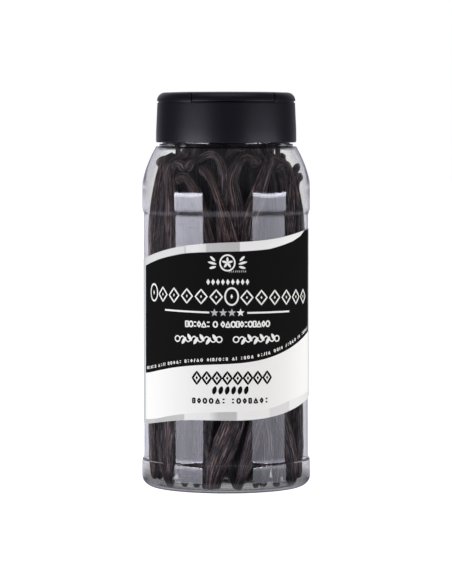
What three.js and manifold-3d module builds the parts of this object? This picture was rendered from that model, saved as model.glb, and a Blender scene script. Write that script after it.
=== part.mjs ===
// A shut clear plastic jar of vanilla pods: a blown jar, a black screw cap with two closed flaps,
// a wrap label with wavy edges, and the pods standing on end inside.
// Millimetres, +Z up. The jar stands on z = 0 round the Z axis, and its label faces -Y.
import * as THREE from 'three';
import Module from 'manifold-3d';
import { mergeVertices } from 'three/addons/utils/BufferGeometryUtils.js';

const wasm = await Module();
wasm.setup();

// Driving dimensions.
const facets = 40; // sides of every turned part

const jar = {
  bandRadius: 41, // the two bands that stand proud of the label panel
  panelRadius: 39.95,
  wall: 0.9,
  baseRadius: 35, // outer edge of the flat ring that the jar stands on
  baseInner: 28.5, // inner edge of that ring
  domeRadius: 18.5, // where the dome of the base flattens
  domeHeight: 3.2,
  pushUp: 4, // how far the middle of the base is domed up
  floor: 1.5, // thickness of the base over the flat ring
  cornerHeight: 5.5,
  lowBandTop: 12.9,
  panelBottom: 15.8,
  panelTop: 132.4,
  highBandBottom: 134.6,
  shoulderStart: 145,
  shoulderEnd: 165,
  shoulderRadius: 34.2,
  shoulderPower: 1.62, // how late the shoulder turns in
  ringRadius: 32.4, // transfer ring under the cap
  ringTop: 166.3,
  neckRadius: 30.9,
  neckBore: 29.6,
  neckTop: 184.9,
};

const cap = {
  bottom: 167,
  bottomRadius: 34,
  straightTop: 172, // the skirt is straight up to here and narrows above
  skirtTopRadius: 33.35,
  lidRadius: 33.5,
  top: 191.5,
  crown: 0.4, // how far the middle of the lid stands over its rounded edge
  crownRadius: 20, // the lid falls by a quarter of that up to here
  edgeRadius: 4,
  edgeSteps: 4,
  bore: 32.4,
  deckUnder: 185.2,
  grooveBottom: 186.1, // a groove parts the lid from the skirt
  grooveTop: 186.9,
  grooveRadius: 32.9,
  pocketFloor: 186.5, // the flaps lie in pockets down to here
  turn: 7.4, // degrees that the screwed-down cap stands turned from the label
};

const flap = {
  width: 39.6,
  hingeHalf: 3.5, // half the strip between the two flaps
  gap: 0.45,
  underside: 186.9,
};

const label = {
  inner: 40.05,
  outer: 40.25,
  columns: 80,
  // both edges are S-waves that climb from left to right: `middle` is the height at the front,
  // `curl` makes the wave steeper at the sides, and `behind` lifts it towards the back
  top: { middle: 120, rise: 6, curl: 1.5, behind: -2.2 },
  bottom: { middle: 35.4, rise: 4.8, curl: 1.75, behind: 2.2 },
};

const pods = {
  sides: 6,
  footHeight: 3.1, // centre of a pod's lower end
  lowHeight: 34, // a pod keeps its lower reach up to here, and its upper reach from highHeight
  highHeight: 118,
  wallGap: 0.5,
  flatness: 0.78, // thickness of a pod over its width
  footWidth: 0.55, // the blunt lower end, as a share of the width
  neckFrom: 0.72, // share of the length where a pod starts to narrow
  neckTo: 0.95,
  neckLoss: 0.4, // share of the width that it loses there
  hookSteps: 3,
  hookRadius: [3, 6],
  hookDegrees: [60, 140],
  width: [6.4, 8.8],
  topShare: 0.92, // upper width over lower width
  ringCount: 15, // pods against the wall at the sides and the back
  ringRadius: 34.6,
  ringFrom: 88, // degrees round from the front
  ringTo: 266,
  ringLean: 50, // most degrees that one leans round the jar
  ringCrown: [150, 162],
  innerCount: 10, // pods in the middle, of which only the tops show
  innerReach: [15, 24],
  innerFoot: 105,
  innerLean: 57,
  innerCrown: [160, 170],
  coreSides: 18,
  coreRadius: 33,
  coreTop: 146,
  coreBottom: 8,
  coreEdge: [5, 8], // its lower and upper slopes, inward and along
  coreShoulder: [8, 14],
  seed: 41,
};

// Pods in front, left to right at the top. `reach` is their distance from the jar's axis low down
// and high up, `width` their width there, and `line` the [x, height] of the centre from the foot
// to the hooked tip.
const frontPods = [
  { reach: [35, 35],
    width: [8.6, 7.4],
    line: [[-36.4, 5.5], [-34.2, 14], [-34.2, 34], [-34.6, 118], [-33.3, 132], [-32, 142], [-30.7, 151],
      [-30.4, 156.8], [-31.8, 159.3], [-33.6, 158], [-33.8, 155.2]] },
  { reach: [33.5, 33.5],
    width: [7.2, 6.6],
    line: [[-26.5, 3.2], [-29, 9], [-29.8, 18], [-29.7, 34], [-30.1, 118], [-29.5, 132], [-28.6, 146],
      [-28.5, 155.5], [-30, 160]] },
  { reach: [35, 34.5],
    width: [7.2, 7.4],
    line: [[-27.6, 3.4], [-27, 14], [-25.8, 34], [-25.6, 119], [-25.9, 134], [-26.4, 145], [-27.3, 153],
      [-26.2, 159.5], [-23.5, 164]] },
  { reach: [31, 33],
    width: [6.6, 6.4],
    line: [[-20, 3.2], [-19.5, 34], [-22, 118], [-25, 140], [-25.8, 151], [-24.4, 156.3], [-21.6, 156.8],
      [-19.4, 153.6]] },
  { reach: [33, 33.5],
    width: [7.4, 7.8],
    line: [[17.3, 3.8], [19, 18], [17.8, 34], [-7, 119.6], [-9.8, 131.4], [-13.6, 141.8], [-16.8, 148.5],
      [-19.8, 151], [-22.2, 150], [-23.2, 147.4]] },
  { reach: [30, 33],
    width: [7, 6.4],
    line: [[-14, 3.2], [-12, 34], [-3, 118], [-1.8, 140], [-1.6, 151], [-2.6, 157], [-5.2, 160.4],
      [-9.3, 161.8], [-14, 160], [-17, 157], [-18.4, 153.8]] },
  { reach: [35.2, 35.2],
    width: [8.6, 8.8],
    line: [[33, 3.4], [32, 9], [30.4, 19], [26.5, 34], [2.5, 119.7], [0.1, 130.2], [-3.2, 140.6],
      [-6.2, 147.8], [-9.6, 152.8], [-13, 156]] },
  { reach: [31, 33],
    width: [7, 8.6],
    line: [[5.4, 3.2], [2.5, 9], [0.4, 18], [1.1, 34], [4.9, 119.6], [4.9, 132.4], [3.9, 140.5], [2.5, 147],
      [3.3, 152.6], [5.8, 157.2], [9.6, 159.6], [13.4, 159.2], [15.6, 156.6]] },
  { reach: [33, 35],
    width: [7.6, 8.4],
    line: [[-9.4, 3.4], [-9.6, 20], [-9.2, 34], [9.6, 119.7], [11.5, 131.5], [14.4, 139.5], [16.8, 146.6],
      [18.9, 152.3], [21.4, 156.4], [24.4, 158.6], [27, 158.4]] },
  { reach: [33, 34.2],
    width: [7, 6.4],
    line: [[24, 3.2], [27, 34], [29, 119], [29.8, 132], [30.6, 141.5], [30.8, 149], [29.6, 155.4],
      [26.8, 159], [23.6, 160]] },
  { reach: [31, 32.5],
    width: [6.4, 6.4],
    line: [[14, 3.2], [18, 34], [27, 119], [28, 140], [27.2, 150], [25.6, 155], [23.2, 154]] },
  { reach: [35.2, 35.2],
    width: [9.6, 6.8],
    line: [[-8.6, 3.6], [-6.5, 11], [-2.7, 21.7], [2.5, 34.6], [29.3, 119], [30.6, 132], [31.6, 141.5],
      [32.5, 148.6], [33.4, 152.6], [34.4, 155]] },
  { reach: [33, 30],
    width: [7.4, 6.8],
    line: [[-4.6, 3.4], [-2.4, 12], [1.6, 22], [6.4, 36], [24, 110], [23, 135], [20.5, 152], [17, 162],
      [14, 167]] },
  { reach: [35, 34.6],
    width: [7.2, 6.4],
    line: [[36, 5.6], [35, 12], [34.6, 20], [34, 34], [33, 118], [32.9, 132], [32.4, 141.4], [31, 149],
      [29.4, 156], [27.6, 161], [25.6, 165.5]] },
  { reach: [35.2, 35.6],
    width: [7.8, 7],
    line: [[5.4, 3.4], [8.2, 10], [11.1, 19.6], [14.4, 34], [34.4, 112], [35.3, 122], [35.3, 134],
      [35, 140], [34.5, 145.4], [34.8, 149.4], [36.3, 150.6]] },
];

// The shoulder's radius at a height, from the jar's band in to its top edge.
function shoulderAt(height) {
  const span = jar.shoulderEnd - jar.shoulderStart;
  const share = THREE.MathUtils.clamp((height - jar.shoulderStart) / span, 0, 1);
  return jar.bandRadius - (jar.bandRadius - jar.shoulderRadius) * share ** jar.shoulderPower;
}

// A run of outline points on the shoulder, `inset` inside its outer face.
function shoulderPoints(steps, inset) {
  const points = [];
  for (let i = 0; i <= steps; i += 1) {
    const share = 1 - (1 - i / steps) ** 1.5;
    const height = THREE.MathUtils.lerp(jar.shoulderStart, jar.shoulderEnd, share);
    points.push([shoulderAt(height) - inset, height - inset * share]);
  }
  return points;
}

// A quarter of an ellipse from the base ring out to the lower band, `inset` inside the outer face
// and `lift` above it at the ring.
function cornerPoints(steps, inset, lift) {
  const points = [];
  for (let i = 0; i <= steps; i += 1) {
    const turn = (i / steps) * (Math.PI / 2);
    const reach = (jar.bandRadius - jar.baseRadius) * Math.sin(turn);
    const rise = jar.cornerHeight * (1 - Math.cos(turn));
    points.push([jar.baseRadius + reach - inset * Math.sin(turn), rise + lift * (1 - i / steps)]);
  }
  return points;
}

// Drops repeated corners and the zero-area triangles that a pole leaves.
function welded(geometry, tolerance = 1e-4) {
  geometry.deleteAttribute('normal');
  geometry.deleteAttribute('uv');
  const merged = mergeVertices(geometry, tolerance);
  const corners = merged.index.array;
  const kept = [];
  for (let i = 0; i < corners.length; i += 3) {
    const [a, b, c] = [corners[i], corners[i + 1], corners[i + 2]];
    if (a !== b && b !== c && c !== a) kept.push(a, b, c);
  }
  merged.setIndex(kept);
  return merged;
}

// Turns an outline of [radius, height] points, closed or ending on the axis, round the Z axis.
function turned(outline, sides = facets) {
  const points = outline.map(([radius, height]) => new THREE.Vector2(radius, height));
  return welded(new THREE.LatheGeometry(points, sides).rotateX(Math.PI / 2));
}

function toSolid(geometry) {
  return new wasm.Manifold(new wasm.Mesh({
    numProp: 3,
    vertProperties: new Float32Array(geometry.attributes.position.array),
    triVerts: new Uint32Array(geometry.index.array),
  }));
}

function toGeometry(solid) {
  const { vertProperties, triVerts } = solid.getMesh();
  const geometry = new THREE.BufferGeometry();
  geometry.setAttribute('position', new THREE.BufferAttribute(vertProperties, 3));
  geometry.setIndex(new THREE.BufferAttribute(triVerts, 1));
  return geometry;
}

function makeJar() {
  const outside = [
    [0, jar.pushUp],
    [jar.domeRadius, jar.domeHeight],
    [jar.baseInner, 0],
    ...cornerPoints(4, 0, 0),
    [jar.bandRadius, jar.lowBandTop],
    [jar.panelRadius, jar.panelBottom],
    [jar.panelRadius, jar.panelTop],
    [jar.bandRadius, jar.highBandBottom],
    ...shoulderPoints(6, 0),
    [jar.ringRadius, jar.shoulderEnd],
    [jar.ringRadius, jar.ringTop],
    [jar.neckRadius, jar.ringTop],
    [jar.neckRadius, jar.neckTop],
  ];
  const inside = [
    [jar.neckBore, jar.neckTop],
    [jar.neckBore, jar.shoulderEnd - jar.wall],
    ...shoulderPoints(4, jar.wall).reverse(),
    [jar.bandRadius - jar.wall, jar.highBandBottom],
    [jar.panelRadius - jar.wall, jar.panelTop],
    [jar.panelRadius - jar.wall, jar.panelBottom],
    [jar.bandRadius - jar.wall, jar.lowBandTop],
    ...cornerPoints(3, jar.wall, jar.floor).reverse(),
    [jar.baseInner, jar.floor],
    [jar.domeRadius, jar.domeHeight + jar.floor],
    [0, jar.pushUp + jar.floor],
  ];
  return turned([...outside, ...inside]);
}

// The lid's side, rounded edge and slightly domed top, from a height up to the middle.
function lidOutline(from) {
  const outline = [[cap.lidRadius, from]];
  for (let i = 0; i <= cap.edgeSteps; i += 1) {
    const turn = (i / cap.edgeSteps) * (Math.PI / 2);
    outline.push([cap.lidRadius - cap.edgeRadius * (1 - Math.cos(turn)),
      cap.top - cap.crown - cap.edgeRadius * (1 - Math.sin(turn))]);
  }
  outline.push([cap.crownRadius, cap.top - cap.crown / 4], [0, cap.top]);
  return outline;
}

// The block of the cap's top that one flap fills, grown by `spare` on its free sides.
function flapBlock(side, spare, floor) {
  const far = 1.2 * cap.lidRadius;
  const near = flap.hingeHalf - spare;
  const height = cap.top - cap.deckUnder;
  const block = new THREE.BoxGeometry(flap.width + 2 * spare, far - near, height);
  block.translate(0, side * (near + far) / 2, floor + height / 2);
  return toSolid(welded(block.rotateZ(THREE.MathUtils.degToRad(cap.turn))));
}

function makeCap() {
  const outline = [
    [cap.bottomRadius, cap.bottom],
    [cap.bottomRadius, cap.straightTop],
    [cap.skirtTopRadius, cap.grooveBottom],
    [cap.grooveRadius, cap.grooveBottom],
    [cap.grooveRadius, cap.grooveTop],
    ...lidOutline(cap.grooveTop),
    [0, cap.deckUnder],
    [cap.bore, cap.deckUnder],
    [cap.bore, cap.bottom],
    [cap.bottomRadius, cap.bottom],
  ];
  let body = toSolid(turned(outline));
  for (const side of [-1, 1]) {
    body = body.subtract(flapBlock(side, flap.gap, cap.pocketFloor));
  }
  return toGeometry(body);
}

function makeFlap(side) {
  const lid = toSolid(turned([[0, cap.deckUnder], ...lidOutline(cap.deckUnder)]));
  return toGeometry(lid.intersect(flapBlock(side, 0, flap.underside)));
}

// Height of one of the label's edges, at an angle round the jar from the front.
function edgeAt(edge, angle) {
  return edge.middle + edge.rise * Math.sin(angle) - edge.curl * Math.sin(3 * angle)
    + edge.behind * (1 - Math.cos(angle));
}

function makeLabel() {
  const positions = [];
  const corners = [];
  for (let i = 0; i < label.columns; i += 1) {
    const angle = (i / label.columns) * 2 * Math.PI;
    const low = edgeAt(label.bottom, angle);
    const high = edgeAt(label.top, angle);
    for (const [radius, height] of [[label.outer, low], [label.outer, high],
      [label.inner, high], [label.inner, low]]) {
      positions.push(radius * Math.sin(angle), -radius * Math.cos(angle), height);
    }
    const here = 4 * i;
    const next = 4 * ((i + 1) % label.columns);
    for (let k = 0; k < 4; k += 1) {
      const up = (k + 1) % 4;
      corners.push(here + k, next + k, next + up, here + k, next + up, here + up);
    }
  }
  const geometry = new THREE.BufferGeometry();
  geometry.setAttribute('position', new THREE.Float32BufferAttribute(positions, 3));
  geometry.setIndex(corners);
  return geometry;
}

// Park-Miller numbers from 0 to 1, the same on every run.
function seededRandom(seed) {
  let state = seed;
  return () => {
    state = (state * 16807) % 2147483647;
    return state / 2147483647;
  };
}

// How far from the axis there is room inside the jar at a height.
function roomAt(height) {
  const inside = jar.wall + pods.wallGap;
  const share = THREE.MathUtils.clamp((height - jar.floor) / jar.cornerHeight, 0, 1);
  const corner = (jar.panelRadius - jar.baseRadius) * (1 - Math.sqrt(1 - (1 - share) ** 2));
  const throat = jar.neckBore - pods.wallGap;
  const entry = THREE.MathUtils.smoothstep(height, jar.shoulderEnd - 9, jar.shoulderEnd - 3);
  const below = Math.min(jar.panelRadius, shoulderAt(height)) - corner - inside;
  return THREE.MathUtils.lerp(below, throat, entry);
}

// A pod of few sides along its centre line: flattened, blunt at the foot, narrowed to the tip.
function makePod(line, lowWidth, highWidth) {
  const curve = new THREE.CatmullRomCurve3(line, false, 'centripetal');
  const outward = new THREE.Vector3(line[0].x, line[0].y, 0).normalize();
  const spans = line.length - 1;
  const shares = line.map((point, i) => i / spans);
  shares.splice(1, 0, 0.3 / spans);
  const positions = [];
  const corners = [];
  shares.forEach((share, i) => {
    const centre = curve.getPoint(share);
    const high = THREE.MathUtils.clamp(centre.z / line[spans].z, 0, 1);
    const foot = share > 0 ? 1 : pods.footWidth;
    const neck = 1 - pods.neckLoss * THREE.MathUtils.smoothstep(share, pods.neckFrom, pods.neckTo);
    const half = 0.5 * THREE.MathUtils.lerp(lowWidth, highWidth, high) * foot * neck;
    const reach = Math.hypot(centre.x, centre.y);
    const room = roomAt(centre.z) - half;
    if (reach > room) centre.multiply(new THREE.Vector3(room / reach, room / reach, 1));
    const along = curve.getTangent(share);
    outward.addScaledVector(along, -outward.dot(along)).normalize();
    const across = new THREE.Vector3().crossVectors(outward, along);
    for (let k = 0; k < pods.sides; k += 1) {
      const angle = (k / pods.sides) * 2 * Math.PI;
      const corner = centre.clone()
        .addScaledVector(across, half * Math.cos(angle))
        .addScaledVector(outward, half * pods.flatness * Math.sin(angle));
      positions.push(corner.x, corner.y, corner.z);
      const next = (k + 1) % pods.sides;
      if (i < shares.length - 1) {
        const here = i * pods.sides;
        const above = here + pods.sides;
        corners.push(here + k, here + next, above + next, here + k, above + next, above + k);
      }
    }
  });
  const last = (shares.length - 1) * pods.sides;
  for (let k = 1; k < pods.sides - 1; k += 1) {
    corners.push(0, k + 1, k, last, last + k, last + k + 1);
  }
  const geometry = new THREE.BufferGeometry();
  geometry.setAttribute('position', new THREE.Float32BufferAttribute(positions, 3));
  geometry.setIndex(corners);
  return toSolid(geometry);
}

// The points of a hook that starts straight up at `start` and curls over to `side`.
function hookPoints(start, side, radius, degrees) {
  const points = [];
  for (let i = 1; i <= pods.hookSteps; i += 1) {
    const turn = THREE.MathUtils.degToRad((degrees * i) / pods.hookSteps);
    points.push(start.clone()
      .addScaledVector(side, radius * (1 - Math.cos(turn)))
      .addScaledVector(new THREE.Vector3(0, 0, 1), radius * Math.sin(turn)));
  }
  return points;
}

function frontPod({ reach, width, line }) {
  const points = line.map(([x, height]) => {
    const share = THREE.MathUtils.smoothstep(height, pods.lowHeight, pods.highHeight);
    const away = Math.max(Math.abs(x), THREE.MathUtils.lerp(reach[0], reach[1], share));
    return new THREE.Vector3(x, -Math.sqrt(away ** 2 - x ** 2), height);
  });
  return makePod(points, width[0], width[1]);
}

const between = (random, [least, most]) => THREE.MathUtils.lerp(least, most, random());
const degreesOfLean = (random, most) => THREE.MathUtils.degToRad(most * (random() - 0.5));

// A pod somewhere round the jar: it leans from one compass angle at the foot to another at the top.
function leaningPod(random, { footAngle, lean, reach, foot, crown }) {
  const radius = between(random, pods.hookRadius);
  const curlAngle = footAngle + lean + Math.PI * (random() < 0.5 ? 0.5 : -0.5);
  const side = new THREE.Vector3(Math.sin(curlAngle), -Math.cos(curlAngle), 0);
  const width = between(random, pods.width);
  const straight = [0, 0.5, 1].map((share) => {
    const angle = footAngle + lean * share;
    return new THREE.Vector3(reach * Math.sin(angle), -reach * Math.cos(angle),
      THREE.MathUtils.lerp(foot, crown - radius, share));
  });
  const hook = hookPoints(straight[2], side, radius, between(random, pods.hookDegrees));
  return makePod([...straight, ...hook], width, width * pods.topShare);
}

// The largest outer surface of a solid: loose scraps go, and sealed hollows are filled.
function outermost(solid) {
  const merged = toSolid(welded(toGeometry(solid), 2e-3));
  return merged.decompose().reduce((best, part) => (part.volume() > best.volume() ? part : best));
}

function makePods() {
  const random = seededRandom(pods.seed);
  const [inward, along] = pods.coreEdge;
  const [inwardHigh, alongHigh] = pods.coreShoulder;
  const core = [
    [0, pods.coreBottom],
    [pods.coreRadius - inward, pods.coreBottom],
    [pods.coreRadius, pods.coreBottom + along],
    [pods.coreRadius, pods.coreTop - alongHigh],
    [pods.coreRadius - inwardHigh, pods.coreTop],
    [0, pods.coreTop],
  ];
  let heap = toSolid(turned(core, pods.coreSides));
  for (const row of frontPods) heap = heap.add(frontPod(row));
  for (let i = 0; i < pods.ringCount; i += 1) {
    const share = (i + 0.3 * random()) / (pods.ringCount - 1);
    heap = heap.add(leaningPod(random, {
      footAngle: THREE.MathUtils.degToRad(THREE.MathUtils.lerp(pods.ringFrom, pods.ringTo, share)),
      lean: degreesOfLean(random, pods.ringLean),
      reach: pods.ringRadius,
      foot: pods.footHeight,
      crown: between(random, pods.ringCrown),
    }));
  }
  for (let i = 0; i < pods.innerCount; i += 1) {
    heap = heap.add(leaningPod(random, {
      footAngle: ((i + 0.5 * random()) / pods.innerCount) * 2 * Math.PI,
      lean: degreesOfLean(random, pods.innerLean),
      reach: between(random, pods.innerReach),
      foot: pods.innerFoot,
      crown: between(random, pods.innerCrown),
    }));
  }
  return toGeometry(outermost(heap));
}

const finishes = {
  clearPlastic: { color: '#e9ebee', roughness: 0.08, metalness: 0, transparent: true, opacity: 0.35 },
  blackPlastic: { color: '#1f1e26', roughness: 0.5, metalness: 0 },
  printedFilm: { color: '#1a1a1a', roughness: 0.6, metalness: 0 },
  podSkin: { color: '#2c2021', roughness: 0.5, metalness: 0 },
};

function piece(name, geometry, finish) {
  const mesh = new THREE.Mesh(geometry, new THREE.MeshStandardMaterial({ ...finish, flatShading: true }));
  mesh.name = name;
  return mesh;
}

const group = new THREE.Group();
group.add(
  piece('jar', makeJar(), finishes.clearPlastic),
  piece('cap', makeCap(), finishes.blackPlastic),
  piece('cap_flap_front', makeFlap(-1), finishes.blackPlastic),
  piece('cap_flap_back', makeFlap(1), finishes.blackPlastic),
  piece('label', makeLabel(), finishes.printedFilm),
  piece('vanilla_pods', makePods(), finishes.podSkin),
);

export default group;
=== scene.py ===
import math

import bmesh
import bpy
import numpy as np
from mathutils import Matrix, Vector


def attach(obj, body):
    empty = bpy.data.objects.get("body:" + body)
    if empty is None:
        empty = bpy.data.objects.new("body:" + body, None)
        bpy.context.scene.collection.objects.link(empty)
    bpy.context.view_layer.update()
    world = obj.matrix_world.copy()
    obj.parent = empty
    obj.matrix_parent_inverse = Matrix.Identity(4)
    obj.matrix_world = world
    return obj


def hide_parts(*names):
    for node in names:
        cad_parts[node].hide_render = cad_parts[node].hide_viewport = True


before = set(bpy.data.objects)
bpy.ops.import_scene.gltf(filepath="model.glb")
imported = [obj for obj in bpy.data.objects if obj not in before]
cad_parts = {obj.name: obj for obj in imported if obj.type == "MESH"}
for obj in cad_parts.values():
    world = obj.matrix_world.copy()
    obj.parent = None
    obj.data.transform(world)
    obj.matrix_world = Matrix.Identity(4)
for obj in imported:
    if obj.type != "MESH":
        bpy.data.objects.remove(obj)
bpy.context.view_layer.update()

mm = 0.001
scene = bpy.context.scene


# small makers that the pieces share
def linkMesh(name, verts, faces, smooth=True):
    mesh = bpy.data.meshes.new(name)
    mesh.from_pydata([tuple(v) for v in verts], [], faces)
    mesh.validate()
    piece = bpy.data.objects.new(name, mesh)
    scene.collection.objects.link(piece)
    if smooth:
        mesh.shade_smooth()
    return piece


def roundedOutline(corners, arcSteps=6):
    # corners are (radius, height, fillet) in mm; a fillet of 0 leaves the corner as it is
    points = []
    for i, (r, z, fillet) in enumerate(corners):
        here = Vector((r, z))
        if fillet <= 0 or i == 0 or i == len(corners) - 1:
            points.append(here)
            continue
        back = Vector(corners[i - 1][:2]) - here
        ahead = Vector(corners[i + 1][:2]) - here
        reach = min(fillet, back.length * 0.48, ahead.length * 0.48)
        start = here + back.normalized() * reach
        end = here + ahead.normalized() * reach
        for k in range(arcSteps + 1):
            t = k / arcSteps
            points.append(start * (1 - t) ** 2 + here * 2 * t * (1 - t) + end * t ** 2)
    return points


def spun(name, outline, steps, closed=True):
    # turns an outline in mm round the Z axis; points on the axis become one pole
    rings, verts, faces = [], [], []
    for r, z in outline:
        if r < 1e-6:
            rings.append([len(verts)] * steps)
            verts.append((0, 0, z * mm))
            continue
        rings.append(list(range(len(verts), len(verts) + steps)))
        for k in range(steps):
            turn = 2 * math.pi * k / steps
            verts.append((r * mm * math.sin(turn), -r * mm * math.cos(turn), z * mm))
    pairs = list(zip(rings, rings[1:]))
    if closed:
        pairs.append((rings[-1], rings[0]))
    for low, high in pairs:
        for k in range(steps):
            n = (k + 1) % steps
            face = []
            for v in (low[k], low[n], high[n], high[k]):
                if v not in face:
                    face.append(v)
            if len(face) > 2:
                faces.append(face)
    return linkMesh(name, verts, faces)


def addAttribute(mesh, name, kind, values):
    layer = mesh.attributes.new(name, kind, "POINT")
    field = "vector" if kind == "FLOAT_VECTOR" else "value"
    layer.data.foreach_set(field, np.asarray(values, np.float32).ravel())


def outwardFaces(piece):
    work = bmesh.new()
    work.from_mesh(piece.data)
    bmesh.ops.remove_doubles(work, verts=work.verts, dist=1e-7)
    bmesh.ops.recalc_face_normals(work, faces=work.faces)
    work.to_mesh(piece.data)
    work.free()
    return piece


def sharpBy(piece, degrees):
    # smooth shading with hard edges past an angle
    piece.data.set_sharp_from_angle(angle=math.radians(degrees))
    return piece


def finishPiece(piece, slotName, *nodes):
    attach(piece, "root")
    if nodes:
        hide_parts(*nodes)


def newTree(name, kind, ins=(), outs=()):
    tree = bpy.data.node_groups.new(name, kind)
    for label, socketType, value in ins:
        socket = tree.interface.new_socket(label, in_out="INPUT", socket_type=socketType)
        if value is not None:
            socket.default_value = value
    for label, socketType in outs:
        tree.interface.new_socket(label, in_out="OUTPUT", socket_type=socketType)
    return tree


def addNode(tree, kind, place=(0, 0), **settings):
    node = tree.nodes.new(kind)
    node.location = place
    for key, value in settings.items():
        setattr(node, key, value)
    return node


def feed(tree, socket, value):
    # a value goes on the socket, another socket is linked to it
    if isinstance(value, bpy.types.NodeSocket):
        tree.links.new(value, socket)
    elif value is not None:
        socket.default_value = value


def mathNode(tree, operation, a, b=None, c=None, clamp=False):
    node = addNode(tree, "ShaderNodeMath", operation=operation, use_clamp=clamp)
    for socket, value in zip(node.inputs, (a, b, c)):
        feed(tree, socket, value)
    return node.outputs[0]


def stairs(tree, source, points):
    # a value that runs straight from point to point of a table of (source, value)
    total = points[0][1]
    for (low, before), (high, after) in zip(points, points[1:]):
        rise = addNode(tree, "ShaderNodeMapRange")
        tree.links.new(source, rise.inputs["Value"])
        rise.inputs["From Min"].default_value = low
        rise.inputs["From Max"].default_value = high
        rise.inputs["To Max"].default_value = after - before
        total = mathNode(tree, "ADD", rise.outputs["Result"], total)
    return total


# the camera and the studio's light
camera = {
    "distance": 1.62,
    "aimHeight": 0.0943,      # the jar's height in the middle of the picture
    "elevation": 3.26,        # degrees that the camera looks down
    "focalPixels": 3334,
    "shift": -0.0004,         # share of the picture's width
    "pictureWidth": 452,
}

studio = {
    # white seen straight on and through the clear plastic, by height of the direction
    "backdrop": [(-0.6, 0.6), (-0.2, 0.7), (-0.17, 1.0), (0.15, 1.0), (0.4, 0.4)],
    # light on matt surfaces apart from the softboxes: by direction from left -1 to right 1, and from above
    "fill": [(-1.0, 1.15), (-0.3, 0.16), (0.3, 0.16), (1.0, 1.35)], "fillAbove": 0.3,
    # what is mirrored from both sides and from behind the jar: less of it high up, less behind to the right
    "beside": [(-1.0, 0.07), (-0.5, 0.03), (0.5, 0.03), (1.0, 0.07)],
    "behindDepths": [(0.62, 0.0), (0.95, 0.88)],
    "behindHeights": [(-0.16, 0.2), (-0.12, 1.0), (0.0, 1.0), (0.03, 0.4), (0.08, 0.2), (0.14, 0.85)],
    "behindSides": [(-0.2, 1.0), (0.3, 0.76)],
    # what glossy surfaces mirror away from the softboxes: (height of the direction, light)
    "mirrored": [(-0.5, 0.55), (-0.3, 0.25), (-0.16, 0.03), (-0.029, 0.012), (-0.026, 0.06), (0.1, 0.08),
                 (0.6, 0.12), (0.88, 0.15), (0.97, 1.0)],
    "mirroredColour": (0.88, 0.86, 1.0),
    "boxDistance": 0.63,
    "boxTop": 0.1247, "boxBottom": -0.17,
    # each softbox's span in degrees round from the front, its power, and the light of its rim
    "softboxes": {"left": {"from": -73, "to": -31.4, "power": 1.0, "rim": 19.0},
                  "right": {"from": 35.6, "to": 87.2, "power": 0.56, "rim": 29.0}},
    # light of a softbox by height in metres; its rim is the brightest part
    "boxFade": [(-0.17, 3.6), (-0.044, 4.7), (0.095, 8.7), (0.1187, 9.8)], "rimHeight": 0.1203,
    "boxColour": (0.86, 0.86, 1.0),
    "floorGlow": 0.9, "floorColour": (0.9, 0.9, 0.9), "floorHalf": 6, "floorDrop": 0.0002,
}


def makeCamera():
    lens = bpy.data.cameras.new("camera")
    lens.sensor_fit = "HORIZONTAL"
    lens.sensor_width = 36
    lens.lens = 36 * camera["focalPixels"] / camera["pictureWidth"]
    lens.shift_x = camera["shift"]
    lens.clip_start, lens.clip_end = 0.05, 50
    holder = bpy.data.objects.new("camera", lens)
    scene.collection.objects.link(holder)
    tilt = math.radians(camera["elevation"])
    target = Vector((0, 0, camera["aimHeight"]))
    holder.location = target + camera["distance"] * Vector((0, -math.cos(tilt), math.sin(tilt)))
    holder.rotation_euler = (target - holder.location).to_track_quat("-Z", "Y").to_euler()
    scene.camera = holder


def makeSoftbox(name, box):
    middle = math.radians((box["from"] + box["to"]) / 2)
    half = math.radians((box["to"] - box["from"]) / 2)
    lamp = bpy.data.lights.new(name, "AREA")
    lamp.shape = "RECTANGLE"
    lamp.size = 2 * studio["boxDistance"] * math.tan(half)
    lamp.size_y = studio["boxTop"] - studio["boxBottom"]
    lamp.energy = box["power"] * math.pi * lamp.size * lamp.size_y
    lamp.color = studio["boxColour"]
    lamp.use_nodes = True
    tree = lamp.node_tree
    spot = addNode(tree, "ShaderNodeNewGeometry")
    split = addNode(tree, "ShaderNodeSeparateXYZ")
    tree.links.new(spot.outputs["Position"], split.inputs["Vector"])
    fade = stairs(tree, split.outputs["Z"], studio["boxFade"] + [(studio["rimHeight"], box["rim"])])
    tree.links.new(fade, tree.nodes["Emission"].inputs["Strength"])
    holder = bpy.data.objects.new(name, lamp)
    scene.collection.objects.link(holder)
    away = Vector((math.sin(middle), -math.cos(middle), 0))
    holder.location = away * studio["boxDistance"]
    holder.location.z = (studio["boxTop"] + studio["boxBottom"]) / 2
    holder.rotation_euler = (-away).to_track_quat("-Z", "Y").to_euler()
    holder.visible_camera = False
    holder.visible_transmission = False


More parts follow.
